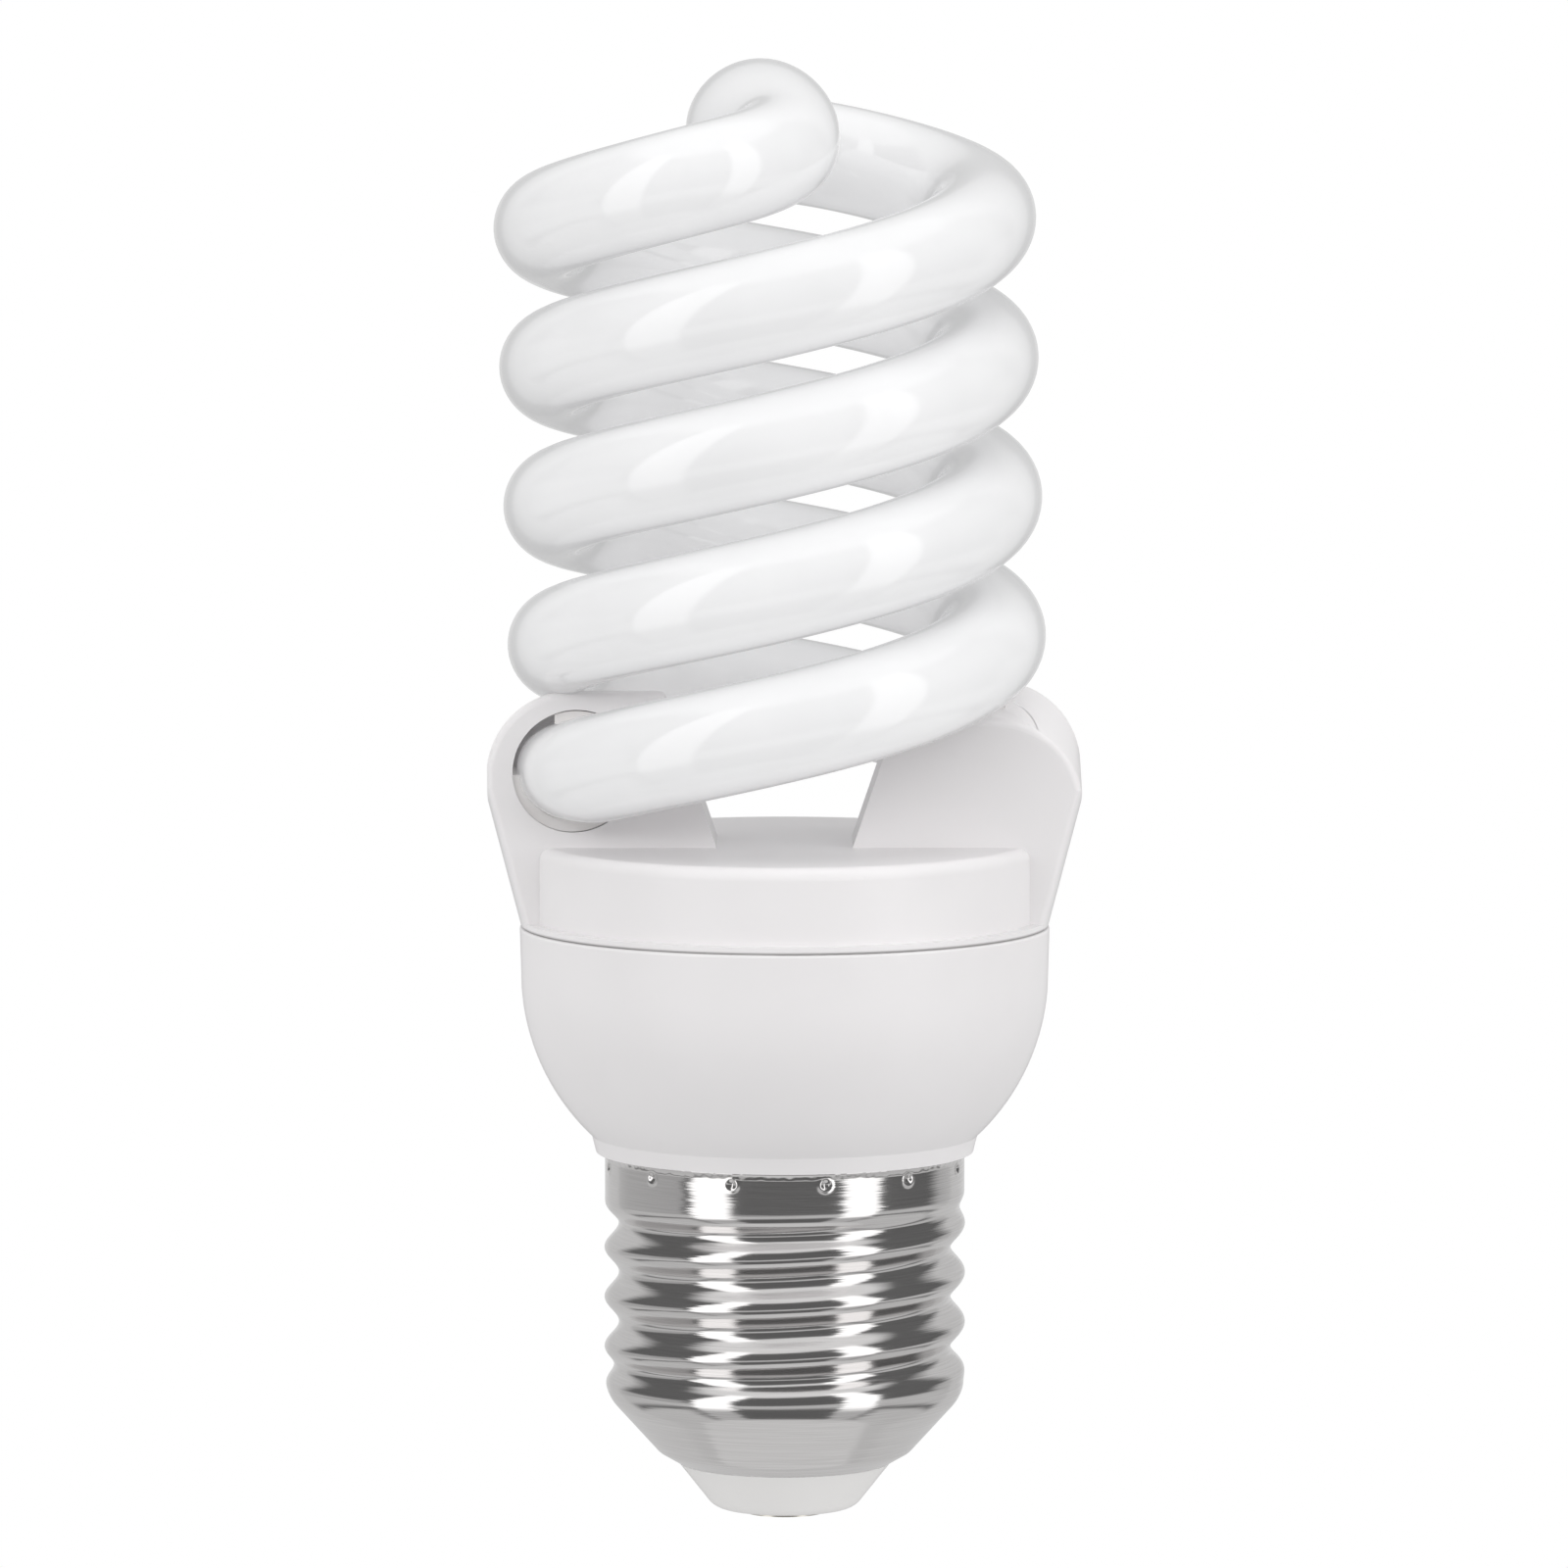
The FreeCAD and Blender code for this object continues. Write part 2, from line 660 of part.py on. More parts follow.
keep(turned("centre_contact", [
    ("sizes.eyelet_bore", "0"),
    ("sizes.contact_radius", "0"),
    ("sizes.contact_radius", "sizes.contact_thick"),
    ("sizes.eyelet_radius", "sizes.contact_thick"),
    ("sizes.eyelet_radius", "sizes.eyelet_length"),
    ("sizes.eyelet_bore", "sizes.eyelet_length"),
]))
solder_blank = cylinder("solder_blank", "sizes.eyelet_bore", "sizes.solder_length",
                        z="sizes.solder_set_back")
solder_hole = cylinder("solder_hole", "sizes.wire_radius", "sizes.solder_length", z="sizes.wire_stop")
keep(cut("tip_solder", solder_blank, solder_hole))

# Lower housing: neck, bowl and the ledge that carries the tube holder
COLLAR_DROP = "(%s - sizes.cap_height - sizes.collar_height)" % CURVE_Z
COLLAR_TOP_R = "(%s + sqrt(sizes.bowl_curve ^ 2 - %s ^ 2))" % (CURVE_X, COLLAR_DROP)
INNER_CURVE = "(sizes.bowl_curve - sizes.housing_wall)"
INNER_FOOT = "(sizes.cap_height + sizes.housing_wall)"
INNER_FOOT_R = "(%s + sqrt(%s ^ 2 - (%s - %s) ^ 2))" % (CURVE_X, INNER_CURVE, CURVE_Z, INNER_FOOT)
BEAD_GROOVE = "(sizes.bead_height + sizes.skirt_gap)"
housing_body = turned("housing_body", [
    (MOUTH, SEAM),
    ("sizes.seam_radius", SEAM),
    ("sizes.seam_radius - sizes.bowl_draft", CURVE_Z),
    (COLLAR_TOP_R, "sizes.cap_height + sizes.collar_height"),
    ("%s - sizes.collar_taper" % COLLAR_TOP_R, "sizes.cap_height"),
    (NECK, "sizes.cap_height"),
    (NECK, "sizes.cap_height - sizes.neck_length"),
    ("sizes.spigot_radius", "sizes.cap_height - sizes.neck_length"),
    ("sizes.spigot_radius", "sizes.spigot_foot"),
    (SPIGOT_BORE, "sizes.spigot_foot"),
    (SPIGOT_BORE, INNER_FOOT),
    (INNER_FOOT_R, INNER_FOOT),
    (MOUTH, CURVE_Z),
    (MOUTH, "%s - %s" % (BEAD, BEAD_GROOVE)),
    ("%s + sizes.bead_proud" % MOUTH, BEAD),
    (MOUTH, "%s + %s" % (BEAD, BEAD_GROOVE)),
], {2: "-sizes.bowl_curve", 11: INNER_CURVE})
round_rings(housing_body, [("sizes.seam_radius", SEAM)], "sizes.seam_edge")
ribs = []
for k in range(int(num("sizes.board_rib_count"))):
    rib = doc.addObject("Part::Box", "board_rib_%d" % (k + 1))
    rib.setExpression("Length", "sizes.board_rib_depth + sizes.fit_gap")
    rib.setExpression("Width", "sizes.board_rib")
    rib.setExpression("Height", "sizes.board_rib_height")
    bearing = 360.0 * k / num("sizes.board_rib_count") + num("sizes.board_rib_start")
    turn = FreeCAD.Rotation(V(0, 0, 1), bearing)
    corner = turn.multVec(V(num("%s - sizes.board_rib_depth" % MOUTH), -num("sizes.board_rib") / 2, 0))
    corner.z = num("%s - sizes.board_rib_height" % BOARD_FOOT)
    rib.Placement = FreeCAD.Placement(corner, turn)
    ribs.append(rib)
housing_blank = fused("housing_blank", [housing_body] + ribs)
wire_notch = box("wire_notch", "sizes.notch_width", "2 * sizes.notch_reach", "sizes.notch_height",
                 "sizes.shell_wire_x", "sizes.shell_wire_y + sizes.notch_reach",
                 "sizes.cap_height - sizes.neck_length - sizes.fit_gap")
keep(cut("lower_housing", housing_blank, wire_notch))

# Tube holder: a drum with a skirt, and two hooded ears
FLANGE_R = "(sizes.seam_radius - sizes.flange_set_back)"
SKIRT_BORE = "(%s - sizes.skirt_wall)" % SKIRT
drum = turned("drum", [
    ("0", PLATFORM),
    ("sizes.drum_radius", PLATFORM),
    ("sizes.drum_radius", "%s + sizes.flange_height" % SEAM),
    (FLANGE_R, "%s + sizes.flange_height" % SEAM),
    (FLANGE_R, SEAM),
    (SKIRT, SEAM),
    (SKIRT, "%s + sizes.bead_height" % BEAD),
    ("%s + sizes.bead_proud" % SKIRT, BEAD),
    (SKIRT, "%s - sizes.bead_height" % BEAD),
    (SKIRT, SKIRT_FOOT),
    (SKIRT_BORE, SKIRT_FOOT),
    (SKIRT_BORE, UNDER_PLATFORM),
    ("0", UNDER_PLATFORM),
])
round_rings(drum, [("sizes.drum_radius", PLATFORM)], "sizes.drum_edge")

EAR_TOP = "(%s + sizes.ear_height - sizes.ear_drop / 2)" % SEAM
EAR_FOOT = "(%s - sizes.ear_drop)" % SEAM
EAR_SIDE = "(sizes.notch_half_width - 2 * sizes.ear_edge)"
EAR_START = "(%s - sizes.notch_slope * sizes.ear_drop)" % EAR_SIDE
EAR_CORNER = "(%s + sizes.notch_slope * (%s - %s))" % (EAR_SIDE, EAR_TOP, PLATFORM)
SLOPE_LENGTH = "sqrt(1 + sizes.notch_slope ^ 2)"
EAR_TRIM = "(sizes.ear_inner_round * (%s - sizes.notch_slope))" % SLOPE_LENGTH
EAR_BEND_X = "(%s - %s * sizes.notch_slope / %s)" % (EAR_CORNER, EAR_TRIM, SLOPE_LENGTH)
EAR_BEND_Z = "(%s - %s / %s)" % (EAR_TOP, EAR_TRIM, SLOPE_LENGTH)
ear_body = doc.addObject("PartDesign::Body", "ear_body")
ear_profile = sketch_on(ear_body, "ear_profile", "XZ_Plane", [
    (EAR_START, EAR_FOOT),
    ("sizes.ear_flare_radius", EAR_FOOT),
    ("sizes.ear_flare_radius", "%s + sizes.ear_flare_height" % SEAM),
    ("sizes.ear_crown", EAR_TOP),
    ("%s + %s" % (EAR_CORNER, EAR_TRIM), EAR_TOP),
    (EAR_BEND_X, EAR_BEND_Z),
    (EAR_START, "%s - sizes.ear_drop" % PLATFORM),
], {2: "sizes.ear_round", 4: "sizes.ear_inner_round"})
ear_pad = ear_body.newObject("PartDesign::Pad", "ear_pad")
ear_pad.Profile = ear_profile
ear_pad.UseCustomVector = True
ear_pad.Direction = V(0, -2 * num("sizes.ear_half_depth"), -num("sizes.ear_drop"))
ear_pad.AlongSketchNormal = True
ear_pad.Midplane = True
ear_pad.setExpression("Length", "2 * sizes.ear_half_depth")

# the ears widen with the cone that carries their backs
FLARE_FOOT = "(sizes.seam_radius - sizes.bowl_draft)"
FLARE_HEAD = "(sizes.ear_flare_radius + sizes.ear_flare_over)"
ear_flare = doc.addObject("Part::Cone", "ear_flare")
ear_flare.setExpression("Radius1", FLARE_FOOT)
ear_flare.setExpression("Radius2", "2 * %s - %s" % (FLARE_HEAD, FLARE_FOOT))
ear_flare.setExpression("Height", "2 * sizes.ear_flare_height")
place(ear_flare, "0", "0", SEAM)
ear_sharp = doc.addObject("Part::MultiCommon", "ear_sharp")
ear_sharp.Shapes = [ear_body, ear_flare]
doc.recompute()


def ear_edges(shape):
    # all edges of both flat faces of an ear, without those at its foot inside the drum
    radius = num("sizes.ear_edge")
    inner = num(EAR_START) + TINY
    found = []
    for i, edge in enumerate(shape.Edges):
        sides = sum(vertex.Y for vertex in edge.Vertexes)
        flat = abs(abs(sides) - 2 * num("sizes.ear_half_depth")) < 10 * TINY
        high = max(vertex.Z for vertex in edge.Vertexes) > num(SEAM) + radius
        if flat and high and max(vertex.X for vertex in edge.Vertexes) > inner:
            found.append((i + 1, radius, radius))
    return found


ear_soft = doc.addObject("Part::Fillet", "ear_soft")
ear_soft.Base = ear_sharp
ear_soft.Edges = ear_edges(ear_sharp.Shape)

# the notch between the ears is cut after the rounding, so its edges stay sharp
NOTCH_HEAD = "(%s + sizes.ear_height)" % PLATFORM
notch_body = doc.addObject("PartDesign::Body", "notch_body")
notch_pad = notch_body.newObject("PartDesign::Pad", "notch_pad")
notch_pad.Profile = sketch_on(notch_body, "notch_profile", "XZ_Plane", [
    ("0", PLATFORM),
    ("sizes.notch_half_width", PLATFORM),
    ("sizes.notch_half_width + sizes.notch_slope * sizes.ear_height", NOTCH_HEAD),
    ("0", NOTCH_HEAD),
])
notch_pad.Midplane = True
notch_pad.setExpression("Length", "4 * sizes.ear_half_depth")
ear_right = cut("ear_right", ear_soft, notch_body)
doc.recompute()
ear_left = feature("ear_left", ear_right.Shape.copy())
ear_left.Placement = FreeCAD.Placement(V(0, 0, 0), FreeCAD.Rotation(V(0, 0, 1), 180))
cover_bore = cylinder("cover_bore", SKIRT_BORE, "%s - %s" % (UNDER_PLATFORM, SEAM), z=SEAM)
cover_block = fused("cover_block", [drum, ear_right, ear_left])

# sockets for the tube ends, with the slots for their leads
BACK_DEPTH = num("sizes.ear_half_depth - sizes.ear_back_wall")
SOCKET_RADIUS = num("sizes.tube_radius + sizes.socket_play")


def in_socket(shape, side):
    # puts a shape made round the left end of the coil in the left (-1) or right (1) socket
    shape = shape.copy()
    if side > 0:
        shape.rotate(V(0, 0, 0), V(0, 0, 1), 180)
    shape = seated(shape)
    shape.translate(V(-side * num("sizes.socket_inward"), 0, 0))
    return shape


channel_path = helix_path(bearing_at_depth(BACK_DEPTH), 180 + num("sizes.channel_sweep"))
channel_shape = tube_along(channel_path, SOCKET_RADIUS)
channel_left = feature("channel_left", in_socket(channel_shape, -1))
channel_right = feature("channel_right", in_socket(channel_shape, 1))
SLOT_HEIGHT = "(sizes.platform_height - sizes.cover_wall + sizes.slot_rise)"
slot_left = box("slot_left", "sizes.wire_slot_width", "sizes.end_gap", SLOT_HEIGHT,
                "-sizes.slot_x", "%s + sizes.end_gap / 2" % END_DEPTH, SEAM)
slot_right = box("slot_right", "sizes.wire_slot_width", "sizes.end_gap", SLOT_HEIGHT,
                 "sizes.slot_x", "-%s - sizes.end_gap / 2" % END_DEPTH, SEAM)
cover_tools = doc.addObject("Part::MultiFuse", "cover_tools")
cover_tools.Shapes = [channel_left, channel_right, slot_left, slot_right, cover_bore]
keep(cut("upper_cover", cover_block, cover_tools))
coil_path = tube_path(bearing_at_depth(num(END_DEPTH)))
spiral = seated(tube_along(coil_path, num("sizes.tube_radius"), (0, 0)))
keep(feature("spiral_tube", spiral))

# Circuit board: the components hang below it, and their leads come up through it
HANG = "(%s - sizes.standoff)" % BOARD_FOOT
LEAD_END = "(%s + sizes.lead_proud)" % BOARD_TOP
holes = []
notches = []


def lead(name, x, y, foot):
    # straight lead from inside a component up through its hole
    holes.append((x, y, "sizes.lead_radius + sizes.hole_gap"))
    return cylinder(name, "sizes.lead_radius", "%s - (%s)" % (LEAD_END, foot), x, y, foot)


def on_ring(bearing, across="0"):
    # (x, y) on the ring of small components, moved across the radius
    x = "(sizes.ring_radius * cos(%s) - (%s) * sin(%s))" % (bearing, across, bearing)
    y = "(sizes.ring_radius * sin(%s) + (%s) * cos(%s))" % (bearing, across, bearing)
    return x, y


def standing(name, radius, length, bearing):
    # round body on end, with one lead straight up and one that returns beside it
    x, y = on_ring(bearing)
    side_x, side_y = on_ring(bearing, "sizes.lead_step")
    foot = "(%s - %s)" % (HANG, length)
    body = cylinder(name + "_body", radius, length, x, y, foot)
    upper = lead(name + "_upper", x, y, "%s - sizes.lead_drop" % HANG)
    holes.append((side_x, side_y, "sizes.lead_radius + sizes.hole_gap"))
    low = num(foot) - num("sizes.lead_drop")
    run = [
        V(num(x), num(y), num(foot) + num("sizes.lead_drop")),
        V(num(x), num(y), low),
        V(num(side_x), num(side_y), low),
        V(num(side_x), num(side_y), num(LEAD_END)),
    ]
    lower = feature(name + "_lower", bent_wire(run, num("sizes.lead_radius"), num("sizes.wire_bend")))
    keep(fused(name, [body, upper, lower]))


for k in range(4):
    standing("rectifier_diode_%d" % (k + 1), "sizes.diode_radius", "sizes.diode_length",
             "(sizes.diode_bearing + %d * sizes.diode_step)" % k)
standing("fuse_resistor", "sizes.resistor_radius", "sizes.resistor_length", "sizes.fuse_bearing")
standing("trigger_diac", "sizes.diode_radius", "sizes.diode_length", "sizes.diac_bearing")
standing("base_resistor_1", "sizes.resistor_radius", "sizes.resistor_length", "sizes.resistor_a_bearing")
standing("base_resistor_2", "sizes.resistor_radius", "sizes.resistor_length", "sizes.resistor_b_bearing")

for letter in "abc":
    name = "film_capacitor_" + letter
    bearing = "sizes.film_%s_bearing" % letter
    block = doc.addObject("Part::Box", name + "_block")
    block.setExpression("Length", "sizes.film_depth")
    block.setExpression("Width", "sizes.film_width")
    block.setExpression("Height", "sizes.film_height")
    turn = FreeCAD.Rotation(V(0, 0, 1), num(bearing))
    corner = V(num("sizes.ring_radius - sizes.film_depth / 2"), num("-sizes.film_width / 2"), 0)
    base = turn.multVec(corner) + V(0, 0, num("%s - sizes.film_height" % HANG))
    block.Placement = FreeCAD.Placement(base, turn)
    first = on_ring(bearing, "sizes.film_lead")
    second = on_ring(bearing, "-sizes.film_lead")
    lead_foot = "%s - sizes.lead_drop" % HANG
    keep(fused(name, [block, lead(name + "_first", first[0], first[1], lead_foot),
                      lead(name + "_second", second[0], second[1], lead_foot)]))

# electrolytic capacitor, the tall one in the middle of the bowl
can = cylinder("capacitor_can", "sizes.capacitor_radius", "sizes.capacitor_length",
               "sizes.capacitor_x", "sizes.capacitor_y", "%s - sizes.capacitor_length" % HANG)
can_leads = []
for k, side in enumerate(("+", "-")):
    can_leads.append(lead("capacitor_lead_%d" % (k + 1), "sizes.capacitor_x %s sizes.capacitor_lead" % side,
                          "sizes.capacitor_y", "%s - sizes.lead_drop" % HANG))
keep(fused("electrolytic_capacitor", [can] + can_leads))

# switching transistors, round bodies with one flat side
for letter in "ab":
    name = "transistor_" + letter
    x = "sizes.transistor_%s_x" % letter
    y = "sizes.transistor_%s_y" % letter
    foot = "(%s - sizes.transistor_height)" % HANG
    barrel = cylinder(name + "_barrel", "sizes.transistor_width / 2", "sizes.transistor_height", x, y, foot)
    flat = box(name + "_flat", "sizes.transistor_width", "sizes.transistor_width",
               "sizes.transistor_height", x,
               "%s + sizes.transistor_flat + sizes.transistor_width / 2" % y, foot)
    legs = [cut(name + "_body", barrel, flat)]
    for k in range(3):
        legs.append(lead("%s_leg_%d" % (name, k + 1), "%s + %d * sizes.transistor_lead" % (x, k - 1), y,
                         "%s - sizes.lead_drop" % HANG))
    keep(fused(name, legs))

# choke: two E cores round a bobbin
CHOKE_FOOT = "(%s - sizes.choke_height)" % HANG
WINDOW = "(sizes.choke_height - 2 * sizes.choke_back)"
WINDOW_WIDTH = "((sizes.choke_width - 3 * sizes.choke_limb) / 2)"
for half, low in (("lower", CHOKE_FOOT), ("upper", "%s + sizes.choke_height / 2" % CHOKE_FOOT)):
    block = box("choke_block_" + half, "sizes.choke_width", "sizes.choke_limb_depth",
                "sizes.choke_height / 2", "sizes.choke_x", "sizes.choke_y", low)
    windows = []
    for side in ("-", "+"):
        windows.append(box("choke_window_%s_%d" % (half, len(windows) + 1), WINDOW_WIDTH,
                           "2 * sizes.choke_limb_depth", "%s / 2" % WINDOW,
                           "sizes.choke_x %s (sizes.choke_limb + %s) / 2" % (side, WINDOW_WIDTH),
                           "sizes.choke_y",
                           "%s + sizes.choke_back" % CHOKE_FOOT if half == "lower" else low))
    keep(cut("choke_core_" + half, block, fused("choke_windows_" + half, windows)))
BOBBIN_FOOT = "(%s + sizes.choke_back + sizes.fit_gap)" % CHOKE_FOOT
BOBBIN_HEIGHT = "(%s - 2 * sizes.fit_gap)" % WINDOW
TUBE_HALF_WIDTH = "(sizes.choke_limb / 2 + sizes.fit_gap + sizes.bobbin_wall)"
TUBE_HALF_DEPTH = "(sizes.choke_limb_depth / 2 + sizes.fit_gap + sizes.bobbin_wall)"
FLANGE_FOOT = "(%s + %s - sizes.bobbin_wall)" % (BOBBIN_FOOT, BOBBIN_HEIGHT)
bobbin_parts = [
    box("bobbin_tube", "2 * %s" % TUBE_HALF_WIDTH, "2 * %s" % TUBE_HALF_DEPTH, BOBBIN_HEIGHT,
        "sizes.choke_x", "sizes.choke_y", BOBBIN_FOOT),
    box("bobbin_flange_low", "2 * sizes.bobbin_half_width", "2 * sizes.bobbin_half_depth",
        "sizes.bobbin_wall", "sizes.choke_x", "sizes.choke_y", BOBBIN_FOOT),
    box("bobbin_flange_high", "2 * sizes.bobbin_half_width", "2 * sizes.bobbin_half_depth",
        "sizes.bobbin_wall", "sizes.choke_x", "sizes.choke_y", FLANGE_FOOT),
]
for k, (sx, sy) in enumerate((("-", "-"), ("-", "+"), ("+", "-"), ("+", "+"))):
    bobbin_parts.append(lead("choke_lead_%d" % (k + 1), "sizes.choke_x %s sizes.choke_lead_x" % sx,
                             "sizes.choke_y %s sizes.choke_lead_y" % sy, FLANGE_FOOT))
bobbin_hole = box("bobbin_hole", "sizes.choke_limb + 2 * sizes.fit_gap",
                  "sizes.choke_limb_depth + 2 * sizes.fit_gap", "sizes.choke_height",
                  "sizes.choke_x", "sizes.choke_y", CHOKE_FOOT)
keep(cut("choke_bobbin", fused("bobbin_solid", bobbin_parts), bobbin_hole))
winding_block = box("winding_block", "2 * (sizes.bobbin_half_width - sizes.winding_inset)",
                    "2 * (sizes.bobbin_half_depth - sizes.winding_inset)",
                    "%s - 2 * sizes.bobbin_wall" % BOBBIN_HEIGHT, "sizes.choke_x", "sizes.choke_y",
                    "%s + sizes.bobbin_wall" % BOBBIN_FOOT)
winding_hole = box("winding_hole", "2 * %s" % TUBE_HALF_WIDTH, "2 * %s" % TUBE_HALF_DEPTH,
                   "sizes.choke_height", "sizes.choke_x", "sizes.choke_y", CHOKE_FOOT)
keep(cut("choke_winding", winding_block, winding_hole))

# drive transformer: a ferrite ring with three short windings
RING_FOOT = "(%s - sizes.winding_thick - sizes.core_thick)" % HANG
RING_MIDDLE = "((sizes.core_radius + sizes.core_bore) / 2)"
ring_solid = cylinder("ring_solid", "sizes.core_radius", "sizes.core_thick",
                      "sizes.core_x", "sizes.core_y", RING_FOOT)
ring_hole = cylinder("ring_hole", "sizes.core_bore", "sizes.core_thick",
                     "sizes.core_x", "sizes.core_y", RING_FOOT)
keep(cut("drive_ring", ring_solid, ring_hole))
for k, middle in enumerate((60, 180, 300)):
    name = "ring_winding_%d" % (k + 1)
    sector = cylinder(name + "_sector", "sizes.core_radius + sizes.winding_thick",
                      "sizes.core_thick + 2 * sizes.winding_thick", "sizes.core_x", "sizes.core_y",
                      "%s - sizes.winding_thick" % RING_FOOT)
    sector.setExpression("Angle", "sizes.winding_span")
    sector.setExpression(".Placement.Rotation.Angle", "%d - sizes.winding_span / 2" % middle)
    eye = cylinder(name + "_eye", "sizes.core_bore - sizes.winding_thick", "2 * sizes.core_thick",
                   "sizes.core_x", "sizes.core_y", "%s - sizes.core_thick / 2" % RING_FOOT)
    ends = []
    for sign in "+-":
        angle = "(%d %s sizes.core_lead_angle)" % (middle, sign)
        ends.append(lead("%s_end_%d" % (name, len(ends) + 1),
                         "sizes.core_x + %s * cos(%s)" % (RING_MIDDLE, angle),
                         "sizes.core_y + %s * sin(%s)" % (RING_MIDDLE, angle),
                         "%s + sizes.core_thick" % RING_FOOT))
    sleeve = fused(name + "_blank", [cut(name + "_wedge", sector, eye)] + ends)
    keep(cut(name, sleeve, fused(name + "_core", [ring_solid, ring_hole])))

# inductor: a ferrite bobbin with its winding
IND_FOOT = "(%s - sizes.inductor_height)" % HANG
spool = [cylinder("spool_core", "sizes.inductor_core_radius", "sizes.inductor_height",
                  "sizes.inductor_x", "sizes.inductor_y", IND_FOOT)]
for k, level in enumerate((IND_FOOT, "%s - sizes.inductor_flange" % HANG)):
    spool.append(cylinder("spool_flange_%d" % (k + 1), "sizes.inductor_radius", "sizes.inductor_flange",
                          "sizes.inductor_x", "sizes.inductor_y", level))
for k, sign in enumerate("+-"):
    spool.append(lead("spool_lead_%d" % (k + 1), "sizes.inductor_x",
                      "sizes.inductor_y %s sizes.inductor_lead" % sign,
                      "%s - sizes.inductor_flange / 2" % HANG))
keep(fused("inductor_core", spool))
coil_outer = cylinder("coil_outer", "sizes.inductor_radius - sizes.winding_inset",
                      "sizes.inductor_height - 2 * sizes.inductor_flange", "sizes.inductor_x",
                      "sizes.inductor_y", "%s + sizes.inductor_flange" % IND_FOOT)
coil_inner = cylinder("coil_inner", "sizes.inductor_core_radius", "sizes.inductor_height",
                      "sizes.inductor_x", "sizes.inductor_y", IND_FOOT)
keep(cut("inductor_winding", coil_outer, coil_inner))

# lead pins of the board, and the wires from the tube ends down to them
ends = (
    ("-", "sizes.pin_near", "-"),
    ("-", "sizes.pin_far", "+"),
    ("", "-sizes.pin_near", "+"),
    ("", "-sizes.pin_far", "-"),
)
for k, (side, y, spread) in enumerate(ends):
    x = "%ssizes.pin_x" % side
    keep(box("lead_pin_%d" % (k + 1), "2 * sizes.pin_half", "2 * sizes.pin_half", "sizes.pin_length",
             x, y, BOARD_FOOT))
    notches.append((x, y))
    bearing = bearing_at_depth(num(END_DEPTH))
    start = coil_point(bearing)
    if side == "":
        start = half_turn(start)
    outward = 1 if side == "-" else -1
    aside = num("sizes.wire_spread") * (1 if spread == "+" else -1)
    spot = Part.Vertex(start + V(aside, outward * num("2 * sizes.fit_gap"), 0))
    seated(spot)
    out = spot.Point + V(0, outward * num("sizes.wire_out"), 0)
    head = V(num(x), num(y), num(BOARD_FOOT) + num("sizes.pin_length"))
    turn_z = num("sizes.wire_turn")
    run = [spot.Point, out, V(out.x, out.y, turn_z), V(head.x, head.y, turn_z), head]
    wire = bent_wire(run, num("sizes.wire_radius"), num("sizes.wire_bend"))
    keep(feature("electrode_wire_%d" % (k + 1), wire))

# wires from the board to the screw cap
tip_run = [
    V(num("sizes.tip_wire_x"), num("sizes.tip_wire_y"), num(LEAD_END)),
    V(num("sizes.tip_wire_x"), num("sizes.tip_wire_y"), num("sizes.tip_wire_turn")),
    V(0, 0, num("sizes.tip_wire_drop")),
    V(0, 0, num("sizes.wire_stop")),
]
keep(feature("tip_wire", bent_wire(tip_run, num("sizes.wire_radius"), num("sizes.wire_bend"))))
shell_run = [
    V(num("sizes.shell_wire_x"), num("sizes.shell_wire_y"), num(LEAD_END)),
    V(num("sizes.shell_wire_x"), num("sizes.shell_wire_y"), num("sizes.shell_wire_turn")),
    V(num("sizes.shell_wire_x"), num("sizes.shell_wire_reach"), num("sizes.shell_wire_turn")),
    V(num("sizes.shell_wire_x"), num("sizes.shell_wire_reach"), num("sizes.shell_wire_foot")),
]
keep(feature("shell_wire", bent_wire(shell_run, num("sizes.wire_radius"), num("sizes.wire_bend"))))
for x, y in (("sizes.tip_wire_x", "sizes.tip_wire_y"), ("sizes.shell_wire_x", "sizes.shell_wire_y")):
    holes.append((x, y, "sizes.wire_radius + sizes.hole_gap"))

board_disc = cylinder("board_disc", BOARD_RADIUS, "sizes.board_thick", z=BOARD_FOOT)
DRILL_FOOT = "(%s - sizes.overrun)" % BOARD_FOOT
DRILL_LENGTH = "(sizes.board_thick + 2 * sizes.overrun)"
drills = []
for k, (x, y, radius) in enumerate(holes):
    drills.append(cylinder("drill_%d" % (k + 1), radius, DRILL_LENGTH, x, y, DRILL_FOOT))
for k, (x, y) in enumerate(notches):
    drills.append(box("pin_slot_%d" % (k + 1), "2 * sizes.pin_half", "2 * sizes.pin_half", DRILL_LENGTH,
                      x, y, DRILL_FOOT))
board_drills = doc.addObject("Part::Compound", "board_drills")
board_drills.Links = drills
keep(cut("circuit_board", board_disc, board_drills))

# cement that holds the tube ends in their sockets, open over the outer upper quarter of each
REACH = num("3 * (sizes.tube_radius + sizes.socket_play)")
plug_back = num("sizes.cement_back")
plug_front = num("sizes.cement_front")
plug = tube_along(channel_path, SOCKET_RADIUS - num("sizes.fit_gap"))
middle = coil_point(180)
slab = Part.makeBox(2 * REACH, plug_back + plug_front, 2 * REACH, middle - V(REACH, plug_front, REACH))
plug = plug.common(slab)
core = seated(tube_along(coil_path, num("sizes.tube_radius + sizes.fit_gap"), (0, 0)))
for side, letter in ((-1, "a"), (1, "b")):
    collar = in_socket(plug, side).cut(core)
    corner = seated(Part.Vertex(middle if side < 0 else half_turn(middle))).Point
    corner += V(side * num("sizes.cement_gap_shift") + min(0, side * REACH), -REACH / 2, 0)
    gap = Part.makeBox(REACH, REACH, REACH, corner)
    keep(feature("tube_cement_" + letter, collar.cut(gap)))
doc.recompute()

